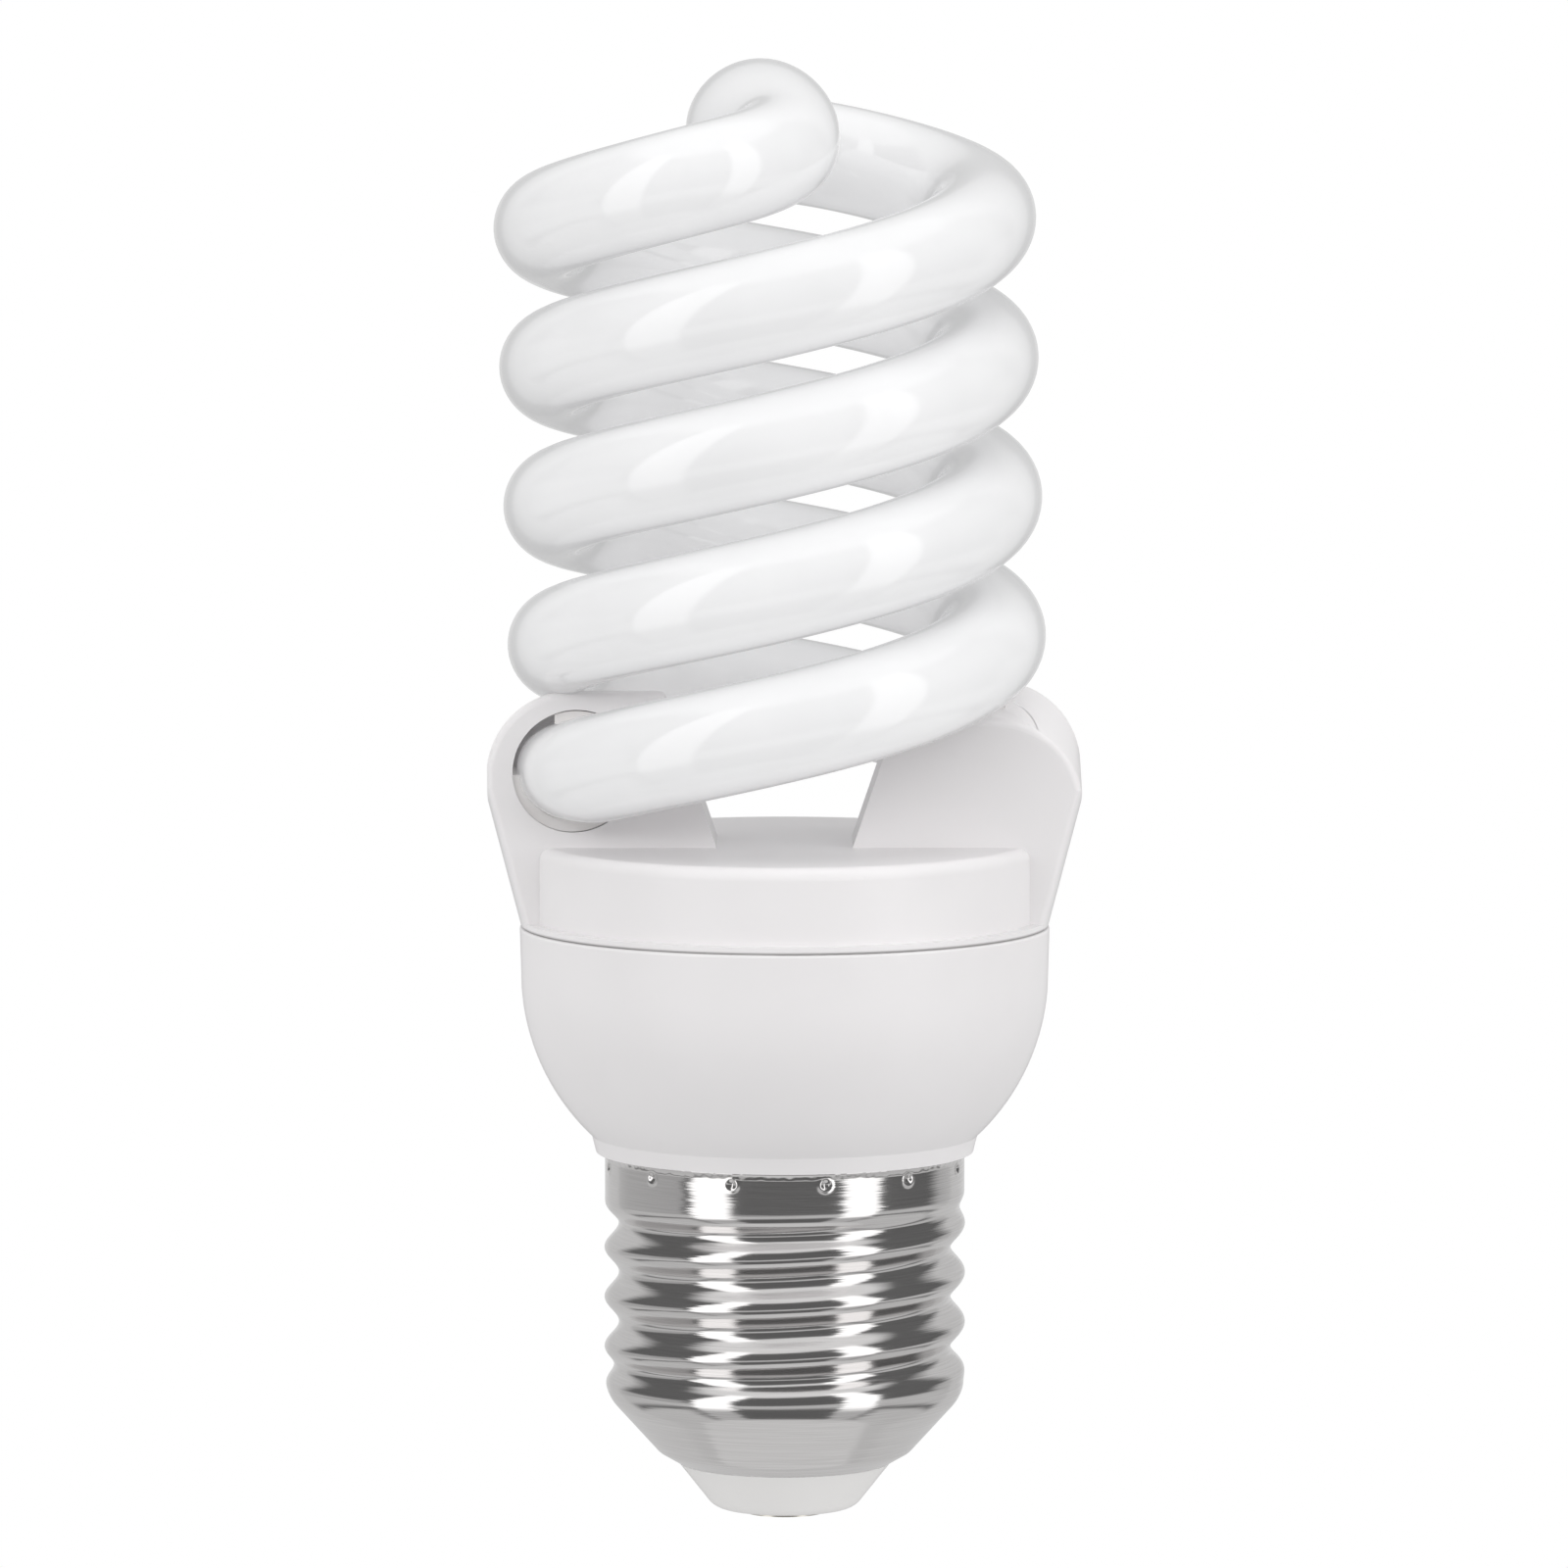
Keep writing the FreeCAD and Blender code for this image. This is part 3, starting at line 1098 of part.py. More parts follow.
for item in doc.Objects:
    if "Invalid" in item.State or "Error" in item.State:
        raise RuntimeError("%s did not build" % item.Name)
for item in subparts:
    if item.Shape.isNull() or not item.Shape.isValid() or len(item.Shape.Solids) != 1:
        raise RuntimeError("%s is not one valid solid" % item.Label)
os.makedirs("parts", exist_ok=True)
for item in subparts:
    item.Shape.exportStep("parts/%s.step" % item.Label)
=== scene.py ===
import json
import math
import bpy
import numpy as np
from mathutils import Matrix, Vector


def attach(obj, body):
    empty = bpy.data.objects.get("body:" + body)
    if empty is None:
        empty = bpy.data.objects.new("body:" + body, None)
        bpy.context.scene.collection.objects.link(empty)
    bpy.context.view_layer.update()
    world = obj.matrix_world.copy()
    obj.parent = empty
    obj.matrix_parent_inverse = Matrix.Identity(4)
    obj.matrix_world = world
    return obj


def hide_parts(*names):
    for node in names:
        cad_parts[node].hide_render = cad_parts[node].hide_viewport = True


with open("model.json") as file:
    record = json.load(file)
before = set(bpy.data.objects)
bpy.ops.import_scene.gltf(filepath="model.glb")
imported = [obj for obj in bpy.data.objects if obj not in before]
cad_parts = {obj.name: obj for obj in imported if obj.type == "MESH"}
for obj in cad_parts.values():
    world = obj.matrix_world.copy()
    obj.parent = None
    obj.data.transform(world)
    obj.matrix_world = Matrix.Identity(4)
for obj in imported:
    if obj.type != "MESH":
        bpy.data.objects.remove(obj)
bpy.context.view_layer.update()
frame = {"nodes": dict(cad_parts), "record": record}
record = frame["record"]
nodes = frame["nodes"]
scene = bpy.context.scene
mm = 0.001
slotOf = {entry["node"]: entry["material_slot"] for entry in record["subparts"]}


# Camera, floor and light

cameraPlan = {
    "aim": (-0.00005, 0.0, 0.0532), "distance": 0.886, "elevation": 5.86, "lens": 281.0, "sensor": 36.0,
    "nearest": 0.05, "farthest": 20.0,
}


def addCamera():
    tilt = math.radians(cameraPlan["elevation"])
    back = Vector((0.0, -math.cos(tilt), math.sin(tilt)))
    data = bpy.data.cameras.new("photoCamera")
    data.lens = cameraPlan["lens"]
    data.sensor_width = cameraPlan["sensor"]
    data.clip_start = cameraPlan["nearest"]
    data.clip_end = cameraPlan["farthest"]
    camera = bpy.data.objects.new("photoCamera", data)
    camera.location = Vector(cameraPlan["aim"]) + back * cameraPlan["distance"]
    camera.rotation_euler = (math.pi / 2 - tilt, 0.0, 0.0)
    scene.collection.objects.link(camera)
    scene.camera = camera


lampPlan = [
    # name, bearing from the camera's side (positive to its right), height angle,
    # distance from lampAim, width, height, radiance
    ("leftBox", -52.0, 22.0, 0.75, 0.24, 0.62, 1.8),
    ("rightBox", 56.0, 20.0, 0.75, 0.28, 0.62, 2.3),
    ("topBox", 0.0, 72.0, 0.75, 0.70, 0.60, 1.4),
    ("frontBox", 0.0, 20.0, 0.95, 1.50, 0.18, 4.0),
    ("backLeft", -140.0, 25.0, 0.90, 0.50, 0.60, 1.3),
    ("backRight", 140.0, 25.0, 0.90, 0.50, 0.60, 1.3),
]
lampAim = (0.0, 0.0, 0.052)

# What polished surfaces mirror: in each direction the brightest of these layers. A layer is its level
# times its stops (degrees, share) by bearing and by height.
mirrorPlan = {
    "strips": {
        "level": 1.4,
        "bearings": [(-180.0, 0.0), (-65.0, 0.0), (-61.0, 1.0), (-37.0, 1.0), (-33.0, 0.0),
                     (36.0, 0.0), (40.0, 1.0), (62.0, 1.0), (66.0, 0.0), (180.0, 0.0)],
        "heights": [(-90.0, 0.35), (-38.0, 0.35), (-26.0, 1.0), (58.0, 1.0), (66.0, 0.35), (90.0, 0.35)],
    },
    "groundToCeiling": {
        "level": 1.0,
        "heights": [(-90.0, 0.66), (-62.0, 0.66), (-56.0, 0.125), (-31.0, 0.125), (-25.0, 0.55),
                    (-14.0, 0.55), (-10.0, 0.125), (50.0, 0.125), (58.0, 0.80), (90.0, 0.80)],
    },
    "behind": {
        "level": 0.60,
        "bearings": [(-180.0, 1.0), (-135.0, 1.0), (-118.0, 0.0), (118.0, 0.0), (135.0, 1.0), (180.0, 1.0)],
    },
    "lowSides": {
        "level": 0.56,
        "bearings": [(-180.0, 1.0), (-74.0, 1.0), (-58.0, 0.0), (58.0, 0.0), (74.0, 1.0), (180.0, 1.0)],
        "heights": [(-90.0, 1.0), (-36.0, 1.0), (-30.0, 0.0), (90.0, 0.0)],
    },
    "sides": {
        "level": 1.0,
        "bearings": [(-180.0, 0.75), (-120.0, 0.45), (-70.0, 0.40), (-66.0, 0.0), (66.0, 0.0), (70.0, 0.04),
                     (104.0, 0.08), (118.0, 0.45), (180.0, 0.75)],
        "heights": [(-90.0, 0.0), (-27.0, 0.0), (-12.0, 1.0), (2.0, 1.0), (12.0, 0.0), (90.0, 0.0)],
    },
}

# light from the room by direction: dim towards the camera, brighter to the sides, above and below
roomPlan = {"base": 0.03, "sides": 0.85, "above": 0.30, "below": 1.15, "belowSharpness": 2.5}


def placeAround(item, bearing, height, distance):
    a = math.radians(bearing)
    e = math.radians(height)
    away = Vector((math.sin(a) * math.cos(e), -math.cos(a) * math.cos(e), math.sin(e)))
    item.location = Vector(lampAim) + away * distance
    item.rotation_euler = away.to_track_quat("Z", "Y").to_euler()


def addLights():
    for name, bearing, height, distance, width, tall, radiance in lampPlan:
        data = bpy.data.lights.new(name, "AREA")
        data.shape = "RECTANGLE"
        data.size = width
        data.size_y = tall
        data.energy = radiance * math.pi * width * tall
        item = bpy.data.objects.new(name, data)
        placeAround(item, bearing, height, distance)
        item.visible_camera = False
        item.visible_glossy = False
        scene.collection.objects.link(item)
    scene.view_settings.view_transform = "Standard"


def setCurve(node, points, straight):
    curve = node.mapping.curves[0]
    for _ in points[2:]:
        curve.points.new(0.5, 0.5)
    for point, place in zip(curve.points, points):
        point.location = place
        if straight:
            point.handle_type = "VECTOR"
    node.mapping.update()


def angleRamp(tree, source, reach, stops):
    # value by angle: stops are (degrees, value), from -reach to reach
    scale = tree.nodes.new("ShaderNodeMapRange")
    scale.inputs["From Min"].default_value = math.radians(-reach)
    scale.inputs["From Max"].default_value = math.radians(reach)
    tree.links.new(source, scale.inputs["Value"])
    ramp = tree.nodes.new("ShaderNodeFloatCurve")
    setCurve(ramp, [((angle + reach) / (2 * reach), value) for angle, value in stops], True)
    tree.links.new(scale.outputs["Result"], ramp.inputs["Value"])
    return ramp.outputs["Value"]


def feed(tree, value, socket):
    # a fixed value is set on the socket, an output is linked to it
    if isinstance(value, (int, float, tuple)):
        socket.default_value = value
    else:
        tree.links.new(value, socket)


def mathNode(tree, kind, first, second=0.0):
    node = tree.nodes.new("ShaderNodeMath")
    node.operation = kind
    feed(tree, first, node.inputs[0])
    feed(tree, second, node.inputs[1])
    return node.outputs[0]


def mixNode(tree, share, first, second):
    # first and second are shaders
    node = tree.nodes.new("ShaderNodeMixShader")
    tree.links.new(share, node.inputs["Fac"])
    tree.links.new(first, node.inputs[1])
    tree.links.new(second, node.inputs[2])
    return node.outputs[0]


def background(tree, strength):
    node = tree.nodes.new("ShaderNodeBackground")
    node.inputs["Color"].default_value = (1.0, 1.0, 1.0, 1.0)
    feed(tree, strength, node.inputs["Strength"])
    return node.outputs[0]


def mirrorLayers(tree, bearing, height):
    brightest = 0.0
    for layer in mirrorPlan.values():
        value = layer["level"]
        for source, reach, key in ((bearing, 180.0, "bearings"), (height, 90.0, "heights")):
            if key in layer:
                value = mathNode(tree, "MULTIPLY", angleRamp(tree, source, reach, layer[key]), value)
        brightest = mathNode(tree, "MAXIMUM", brightest, value)
    return brightest


def roomLight(tree, across, upward):
    aside = mathNode(tree, "MULTIPLY", mathNode(tree, "ABSOLUTE", across), roomPlan["sides"])
    above = mathNode(tree, "MULTIPLY", upward, roomPlan["above"])
    down = mathNode(tree, "MAXIMUM", mathNode(tree, "MULTIPLY", upward, -1.0), 0.0)
    sharp = mathNode(tree, "POWER", down, roomPlan["belowSharpness"])
    below = mathNode(tree, "MULTIPLY", sharp, roomPlan["below"])
    total = mathNode(tree, "ADD", aside, mathNode(tree, "MAXIMUM", above, below))
    return mathNode(tree, "ADD", total, roomPlan["base"])


def addRoom():
    # white to the camera, the layers to polished surfaces, the room's light to everything else
    world = bpy.data.worlds.new("paleRoom")
    scene.world = world
    world.use_nodes = True
    tree = world.node_tree
    tree.nodes.clear()
    place = tree.nodes.new("ShaderNodeTexCoord")
    parts = tree.nodes.new("ShaderNodeSeparateXYZ")
    tree.links.new(place.outputs["Generated"], parts.inputs[0])
    back = mathNode(tree, "MULTIPLY", parts.outputs["Y"], -1.0)
    bearing = mathNode(tree, "ARCTAN2", parts.outputs["X"], back)
    height = mathNode(tree, "ARCSINE", parts.outputs["Z"])
    room = background(tree, roomLight(tree, parts.outputs["X"], parts.outputs["Z"]))
    mirrored = background(tree, mirrorLayers(tree, bearing, height))
    seen = tree.nodes.new("ShaderNodeLightPath")
    unseen = mixNode(tree, seen.outputs["Is Glossy Ray"], room, mirrored)
    whole = mixNode(tree, seen.outputs["Is Camera Ray"], unseen, background(tree, 1.0))
    out = tree.nodes.new("ShaderNodeOutputWorld")
    tree.links.new(whole, out.inputs["Surface"])


floorPlan = {"width": 6.0, "drop": 0.03, "colour": (0.9, 0.9, 0.9, 1.0)}


def addStage():
    # white to the camera, and seen only from above
    half = floorPlan["width"] / 2
    corners = [(-half, -half, 0), (half, -half, 0), (half, half, 0), (-half, half, 0)]
    mesh = bpy.data.meshes.new("floor")
    mesh.from_pydata(corners, [], [(0, 1, 2, 3)])
    floor = bpy.data.objects.new("floor", mesh)
    scene.collection.objects.link(floor)
    floor.location = (0.0, 0.0, -floorPlan["drop"])
    floor.visible_glossy = False
    floor.visible_diffuse = False
    material = bpy.data.materials.new("floor")
    material.use_nodes = True
    tree = material.node_tree
    tree.nodes.clear()
    out = tree.nodes.new("ShaderNodeOutputMaterial")
    diffuse = tree.nodes.new("ShaderNodeBsdfDiffuse")
    diffuse.inputs["Color"].default_value = floorPlan["colour"]
    glow = tree.nodes.new("ShaderNodeEmission")
    path = tree.nodes.new("ShaderNodeLightPath")
    side = tree.nodes.new("ShaderNodeNewGeometry")
    clear = tree.nodes.new("ShaderNodeBsdfTransparent")
    shown = mixNode(tree, path.outputs["Is Camera Ray"], diffuse.outputs[0], glow.outputs[0])
    whole = mixNode(tree, side.outputs["Backfacing"], shown, clear.outputs[0])
    tree.links.new(whole, out.inputs["Surface"])
    mesh.materials.append(material)


# Materials

# bump height in metres; contrast is the part of the noise that is stretched over 0 to 1
grainPlan = {
    "mottle": 90.0, "mottleDetail": 3.0, "grainDetail": 2.0, "contrast": (0.3, 0.7), "depth": 0.00002,
}


def floatInput(group, name, highest, start):
    socket = group.interface.new_socket(name, in_out="INPUT", socket_type="NodeSocketFloat")
    socket.min_value = 0.0
    socket.max_value = highest
    socket.default_value = start


def stretched(tree, noise):
    low, high = grainPlan["contrast"]
    spread = tree.nodes.new("ShaderNodeMapRange")
    spread.inputs["From Min"].default_value = low
    spread.inputs["From Max"].default_value = high
    tree.links.new(noise, spread.inputs["Value"])
    return spread.outputs["Result"]


def surfaceGroup():
    # slow mottling and fine grain shared by every material
    group = bpy.data.node_groups.new("surfaceGrain", "ShaderNodeTree")
    floatInput(group, "Scale", 100000.0, 300.0)
    group.interface.new_socket("Colour Factor", in_out="OUTPUT", socket_type="NodeSocketFloat")
    group.interface.new_socket("Height", in_out="OUTPUT", socket_type="NodeSocketFloat")
    n = group.nodes
    link = group.links.new
    source = n.new("NodeGroupInput")
    sink = n.new("NodeGroupOutput")
    place = n.new("ShaderNodeTexCoord")
    broad = n.new("ShaderNodeTexNoise")
    broad.inputs["Scale"].default_value = grainPlan["mottle"]
    broad.inputs["Detail"].default_value = grainPlan["mottleDetail"]
    fine = n.new("ShaderNodeTexNoise")
    fine.inputs["Detail"].default_value = grainPlan["grainDetail"]
    link(place.outputs["Object"], broad.inputs["Vector"])
    link(place.outputs["Object"], fine.inputs["Vector"])
    link(source.outputs["Scale"], fine.inputs["Scale"])
    link(stretched(group, broad.outputs["Fac"]), sink.inputs["Colour Factor"])
    link(fine.outputs["Fac"], sink.inputs["Height"])
    return group


grain = surfaceGroup()


def mixColour(tree, share, first, second):
    mix = tree.nodes.new("ShaderNodeMix")
    mix.data_type = "RGBA"
    feed(tree, share, mix.inputs["Factor"])
    feed(tree, first, mix.inputs["A"])
    feed(tree, second, mix.inputs["B"])
    return mix.outputs["Result"]


def grainedMaterial(name, low, high, roughness, metallic, scale, bump):
    material = bpy.data.materials.new(name)
    material.use_nodes = True
    tree = material.node_tree
    shader = tree.nodes["Principled BSDF"]
    detail = tree.nodes.new("ShaderNodeGroup")
    detail.node_tree = grain
    detail.inputs["Scale"].default_value = scale
    relief = tree.nodes.new("ShaderNodeBump")
    relief.inputs["Strength"].default_value = bump
    relief.inputs["Distance"].default_value = grainPlan["depth"]
    colour = mixColour(tree, detail.outputs["Colour Factor"], (*low, 1.0), (*high, 1.0))
    tree.links.new(colour, shader.inputs["Base Color"])
    tree.links.new(detail.outputs["Height"], relief.inputs["Height"])
    tree.links.new(relief.outputs["Normal"], shader.inputs["Normal"])
    shader.inputs["Roughness"].default_value = roughness
    shader.inputs["Metallic"].default_value = metallic
    return material


def blendIn(material, share, colour):
    # mixes a colour into the base colour by a share, and gives the result
    tree = material.node_tree
    base = tree.nodes["Principled BSDF"].inputs["Base Color"]
    mixed = mixColour(tree, share, base.links[0].from_socket, (*colour, 1.0))
    tree.links.new(mixed, base)
    return mixed


def shadeEdges(material, edgeShadeColour, stops):
    # painted shade: mixes the edge shade colour in where the surface turns away from the view; stops are (how
    # far turned, share)
    tree = material.node_tree
    turned = tree.nodes.new("ShaderNodeLayerWeight")
    turned.inputs["Blend"].default_value = 0.5
    ramp = tree.nodes.new("ShaderNodeFloatCurve")
    setCurve(ramp, stops, False)
    tree.links.new(turned.outputs["Facing"], ramp.inputs["Value"])
    return blendIn(material, ramp.outputs["Value"], edgeShadeColour)


# rim and edge: a painted dark line just inside the tube's outline
glassPlan = {
    "rim": (0.27, 0.27, 0.274), "gloss": 0.015, "clearIndex": 1.7,
    "glow": 0.62,  # painted glow: the unlit tube gives out a share of its own colour, standing in for light scattered about inside the coated tube
    "edge": [(0.0, 0.0), (0.50, 0.02), (0.70, 0.20), (0.82, 0.52), (0.90, 0.26), (1.0, 0.20)],
}


def coatGlass(material):
    # white coat seen through clear glass, with a painted dark line (painted shade) just inside the outline,
    # and the same colour given out as a painted glow
    shader = material.node_tree.nodes["Principled BSDF"]
    seen = shadeEdges(material, glassPlan["rim"], glassPlan["edge"])
    # painted glow: the edge-shaded colour is given out as light
    material.node_tree.links.new(seen, shader.inputs["Emission Color"])
    shader.inputs["Emission Strength"].default_value = glassPlan["glow"]
    shader.inputs["Specular IOR Level"].default_value = 0.0
    shader.inputs["Coat Weight"].default_value = 1.0
    shader.inputs["Coat Roughness"].default_value = glassPlan["gloss"]
    shader.inputs["Coat IOR"].default_value = glassPlan["clearIndex"]


# rim and edge: painted shade where the surface turns away from the view; joint: painted shade along the joint
# of the two shells
plasticPlan = {
    "rim": (0.40, 0.39, 0.395), "edge": [(0.0, 0.0), (0.82, 0.0), (0.93, 0.30), (1.0, 0.75)],
    "joint": 43.0, "jointHalf": 0.16, "jointShadeColour": (0.22, 0.21, 0.21), "jointShadeShare": 0.75,
}


def paintJointShade(material):
    # painted shade: the base colour is darkened along the joint of the two shells, where shade gathers
    plan = plasticPlan
    tree = material.node_tree
    place = tree.nodes.new("ShaderNodeTexCoord")
    parts = tree.nodes.new("ShaderNodeSeparateXYZ")
    tree.links.new(place.outputs["Object"], parts.inputs[0])
    off = mathNode(tree, "ABSOLUTE", mathNode(tree, "SUBTRACT", parts.outputs["Z"], plan["joint"] * mm))
    near = mathNode(tree, "SUBTRACT", 1.0, mathNode(tree, "DIVIDE", off, plan["jointHalf"] * mm))
    share = mathNode(tree, "MULTIPLY", mathNode(tree, "MAXIMUM", near, 0.0), plan["jointShadeShare"])
    blendIn(material, share, plan["jointShadeColour"])


# along and across are the streaks' noise scales round the axis and up it, turn and tilt how far they lean
metalPlan = {"along": 160.0, "across": 14000.0, "detail": 2.0, "turn": 0.16, "tilt": 0.05}


def vectorNode(tree, kind, first, second):
    node = tree.nodes.new("ShaderNodeVectorMath")
    node.operation = kind
    feed(tree, first, node.inputs[0])
    feed(tree, second, node.inputs[1])
    return node.outputs["Vector"]


def rolledGroup():
    # metal rolled round the lamp's axis: each fine ring leans a little to one side
    group = bpy.data.node_groups.new("rolledStreaks", "ShaderNodeTree")
    floatInput(group, "Turn", 1.0, 0.1)
    floatInput(group, "Tilt", 1.0, 0.05)
    group.interface.new_socket("Normal", in_out="OUTPUT", socket_type="NodeSocketVector")
    group.interface.new_socket("Streak", in_out="OUTPUT", socket_type="NodeSocketFloat")
    n = group.nodes
    link = group.links.new
    source = n.new("NodeGroupInput")
    sink = n.new("NodeGroupOutput")
    place = n.new("ShaderNodeTexCoord")
    surface = n.new("ShaderNodeNewGeometry")
    stretch = n.new("ShaderNodeMapping")
    stretch.inputs["Scale"].default_value = (metalPlan["along"], metalPlan["along"], metalPlan["across"])
    rings = n.new("ShaderNodeTexNoise")
    rings.inputs["Scale"].default_value = 1.0
    rings.inputs["Detail"].default_value = metalPlan["detail"]
    colours = n.new("ShaderNodeSeparateColor")
    link(place.outputs["Object"], stretch.inputs["Vector"])
    link(stretch.outputs["Vector"], rings.inputs["Vector"])
    link(rings.outputs["Color"], colours.inputs["Color"])
    axis = (0.0, 0.0, 1.0)
    around = vectorNode(group, "CROSS_PRODUCT", axis, surface.outputs["Normal"])
    total = surface.outputs["Normal"]
    for channel, name, direction in (("Red", "Turn", around), ("Green", "Tilt", axis)):
        centred = mathNode(group, "SUBTRACT", colours.outputs[channel], 0.5)
        lean = n.new("ShaderNodeVectorMath")
        lean.operation = "SCALE"
        feed(group, direction, lean.inputs[0])
        link(mathNode(group, "MULTIPLY", centred, source.outputs[name]), lean.inputs["Scale"])
        total = vectorNode(group, "ADD", total, lean.outputs["Vector"])
    even = n.new("ShaderNodeVectorMath")
    even.operation = "NORMALIZE"
    link(total, even.inputs[0])
    link(even.outputs["Vector"], sink.inputs["Normal"])
    link(stretched(group, rings.outputs["Fac"]), sink.inputs["Streak"])
    return group


def rollMetal(material):
    # the streaks take the mottling's place in the colour, and lean the normal under the grain
    tree = material.node_tree
    shader = tree.nodes["Principled BSDF"]
    streaks = tree.nodes.new("ShaderNodeGroup")
    streaks.node_tree = rolledGroup()
    streaks.inputs["Turn"].default_value = metalPlan["turn"]
    streaks.inputs["Tilt"].default_value = metalPlan["tilt"]
    colour = shader.inputs["Base Color"].links[0].from_node
    relief = shader.inputs["Normal"].links[0].from_node
    tree.links.new(streaks.outputs["Streak"], colour.inputs["Factor"])
    tree.links.new(streaks.outputs["Normal"], relief.inputs["Normal"])


finishes = {
    # slot: name, the two colours of its mottling, roughness, metallic, grain scale, grain relief
    "housing_plastic": ("housingPlastic", (0.77, 0.755, 0.76), (0.795, 0.78, 0.785), 0.38, 0.0, 2600.0, 0.06),
    "frosted_glass": ("frostedGlass", (0.515, 0.515, 0.519), (0.545, 0.545, 0.549), 0.5, 0.0, 900.0, 0.01),
    "nickel_shell": ("nickelShell", (0.74, 0.725, 0.72), (0.83, 0.815, 0.81), 0.12, 1.0, 1800.0, 0.05),
    "cap_insulation": ("capInsulation", (0.78, 0.77, 0.76), (0.81, 0.80, 0.79), 0.42, 0.0, 2400.0, 0.08),
    "contact_brass": ("contactBrass", (0.70, 0.66, 0.57), (0.78, 0.75, 0.68), 0.3, 1.0, 2200.0, 0.1),
    "solder": ("solder", (0.5, 0.5, 0.5), (0.66, 0.66, 0.66), 0.4, 1.0, 1500.0, 0.3),
    "board_laminate": ("boardLaminate", (0.40, 0.26, 0.12), (0.50, 0.34, 0.17), 0.7, 0.0, 1600.0, 0.2),
    "capacitor_sleeve": ("capacitorSleeve", (0.025, 0.025, 0.03), (0.04, 0.04, 0.05), 0.3, 0.0, 1200.0, 0.1),
    "film_block": ("filmBlock", (0.30, 0.05, 0.025), (0.40, 0.07, 0.035), 0.35, 0.0, 1400.0, 0.2),
    "ferrite": ("ferrite", (0.04, 0.04, 0.04), (0.07, 0.07, 0.07), 0.75, 0.0, 3500.0, 0.3),
    "bobbin_plastic": ("bobbinPlastic", (0.66, 0.64, 0.55), (0.74, 0.72, 0.64), 0.5, 0.0, 1800.0, 0.1),
    "copper_wire": ("copperWire", (0.48, 0.18, 0.08), (0.62, 0.26, 0.12), 0.35, 1.0, 2600.0, 0.4),
    "black_epoxy": ("blackEpoxy", (0.016, 0.016, 0.016), (0.03, 0.03, 0.03), 0.55, 0.0, 3000.0, 0.3),
    "glass_diode": ("glassDiode", (0.08, 0.12, 0.30), (0.12, 0.17, 0.40), 0.25, 0.0, 1500.0, 0.1),
    "resistor_lacquer": ("resistorLacquer", (0.46, 0.38, 0.25), (0.56, 0.48, 0.33), 0.5, 0.0, 1900.0, 0.2),
    "socket_cement": ("socketCement", (0.72, 0.70, 0.69), (0.78, 0.765, 0.76), 0.85, 0.0, 2800.0, 0.6),
    "tinned_wire": ("tinnedWire", (0.50, 0.49, 0.47), (0.60, 0.59, 0.57), 0.3, 1.0, 2500.0, 0.1),
}
materials = {slot: grainedMaterial(*finish) for slot, finish in finishes.items()}
# painted shade along the joint of the two shells
paintJointShade(materials["housing_plastic"])
# painted shade towards the outlines of the plastics
for coloured in ("housing_plastic", "cap_insulation"):
    shadeEdges(materials[coloured], plasticPlan["rim"], plasticPlan["edge"])
coatGlass(materials["frosted_glass"])
rollMetal(materials["nickel_shell"])


def paintNodes():
    for name, item in nodes.items():
        item.data.materials.clear()
        item.data.materials.append(materials[slotOf[name]])


# Glass tube

tubePlan = {
    "tubeRadius": 3.9, "coilRadius": 15.56, "pitch": 20.1, "bearing": -11.42, "topBearing": 885.0,
    "step": 15.0, "endDepth": 2.0, "endTaper": 1.1, "endLift": 1.50, "endOut": 0.58,
    "taperLength": 11.0, "ease": 1.3, "lean": 1.6, "seam": 43.0,
    # crossover: inset from the coil's radius, bearing, rise above the end of the helix
    "crossover": [(-0.30, 216.67, 2.66), (1.33, 253.08, 4.94), (7.99, 281.67, 6.80)], "apexRise": 8.77,
    "rings": 900, "sides": 48,
}


def smoothPath(points, count):
    # natural cubic spline through the points, by distance, read at even steps
    points = np.array(points, float)
    spans = np.linalg.norm(np.diff(points, axis=0), axis=1)
    along = np.concatenate([[0.0], np.cumsum(spans)])
    size = len(points)
    matrix = np.zeros((size, size))
    right = np.zeros((size, 3))
    matrix[0, 0] = 1.0
    matrix[-1, -1] = 1.0
    for i in range(1, size - 1):
        matrix[i, i - 1] = spans[i - 1]
        matrix[i, i] = 2 * (spans[i - 1] + spans[i])
        matrix[i, i + 1] = spans[i]
        right[i] = 6 * ((points[i + 1] - points[i]) / spans[i] - (points[i] - points[i - 1]) / spans[i - 1])
    bend = np.linalg.solve(matrix, right)
    where = np.linspace(0.0, along[-1], count)
    k = np.clip(np.searchsorted(along, where, side="right") - 1, 0, size - 2)
    h = spans[k][:, None]
    a = (along[k + 1] - where)[:, None]
    b = (where - along[k])[:, None]
    return (bend[k] * a ** 3 + bend[k + 1] * b ** 3) / (6 * h) + (points[k] / h - bend[k] * h / 6) * a + (
        points[k + 1] / h - bend[k + 1] * h / 6) * b


def endWeight(distance):
    # 1 at an end of the tube, falling to 0 where it has its full size
    return max(0.0, 1.0 - distance / tubePlan["taperLength"]) ** tubePlan["ease"]


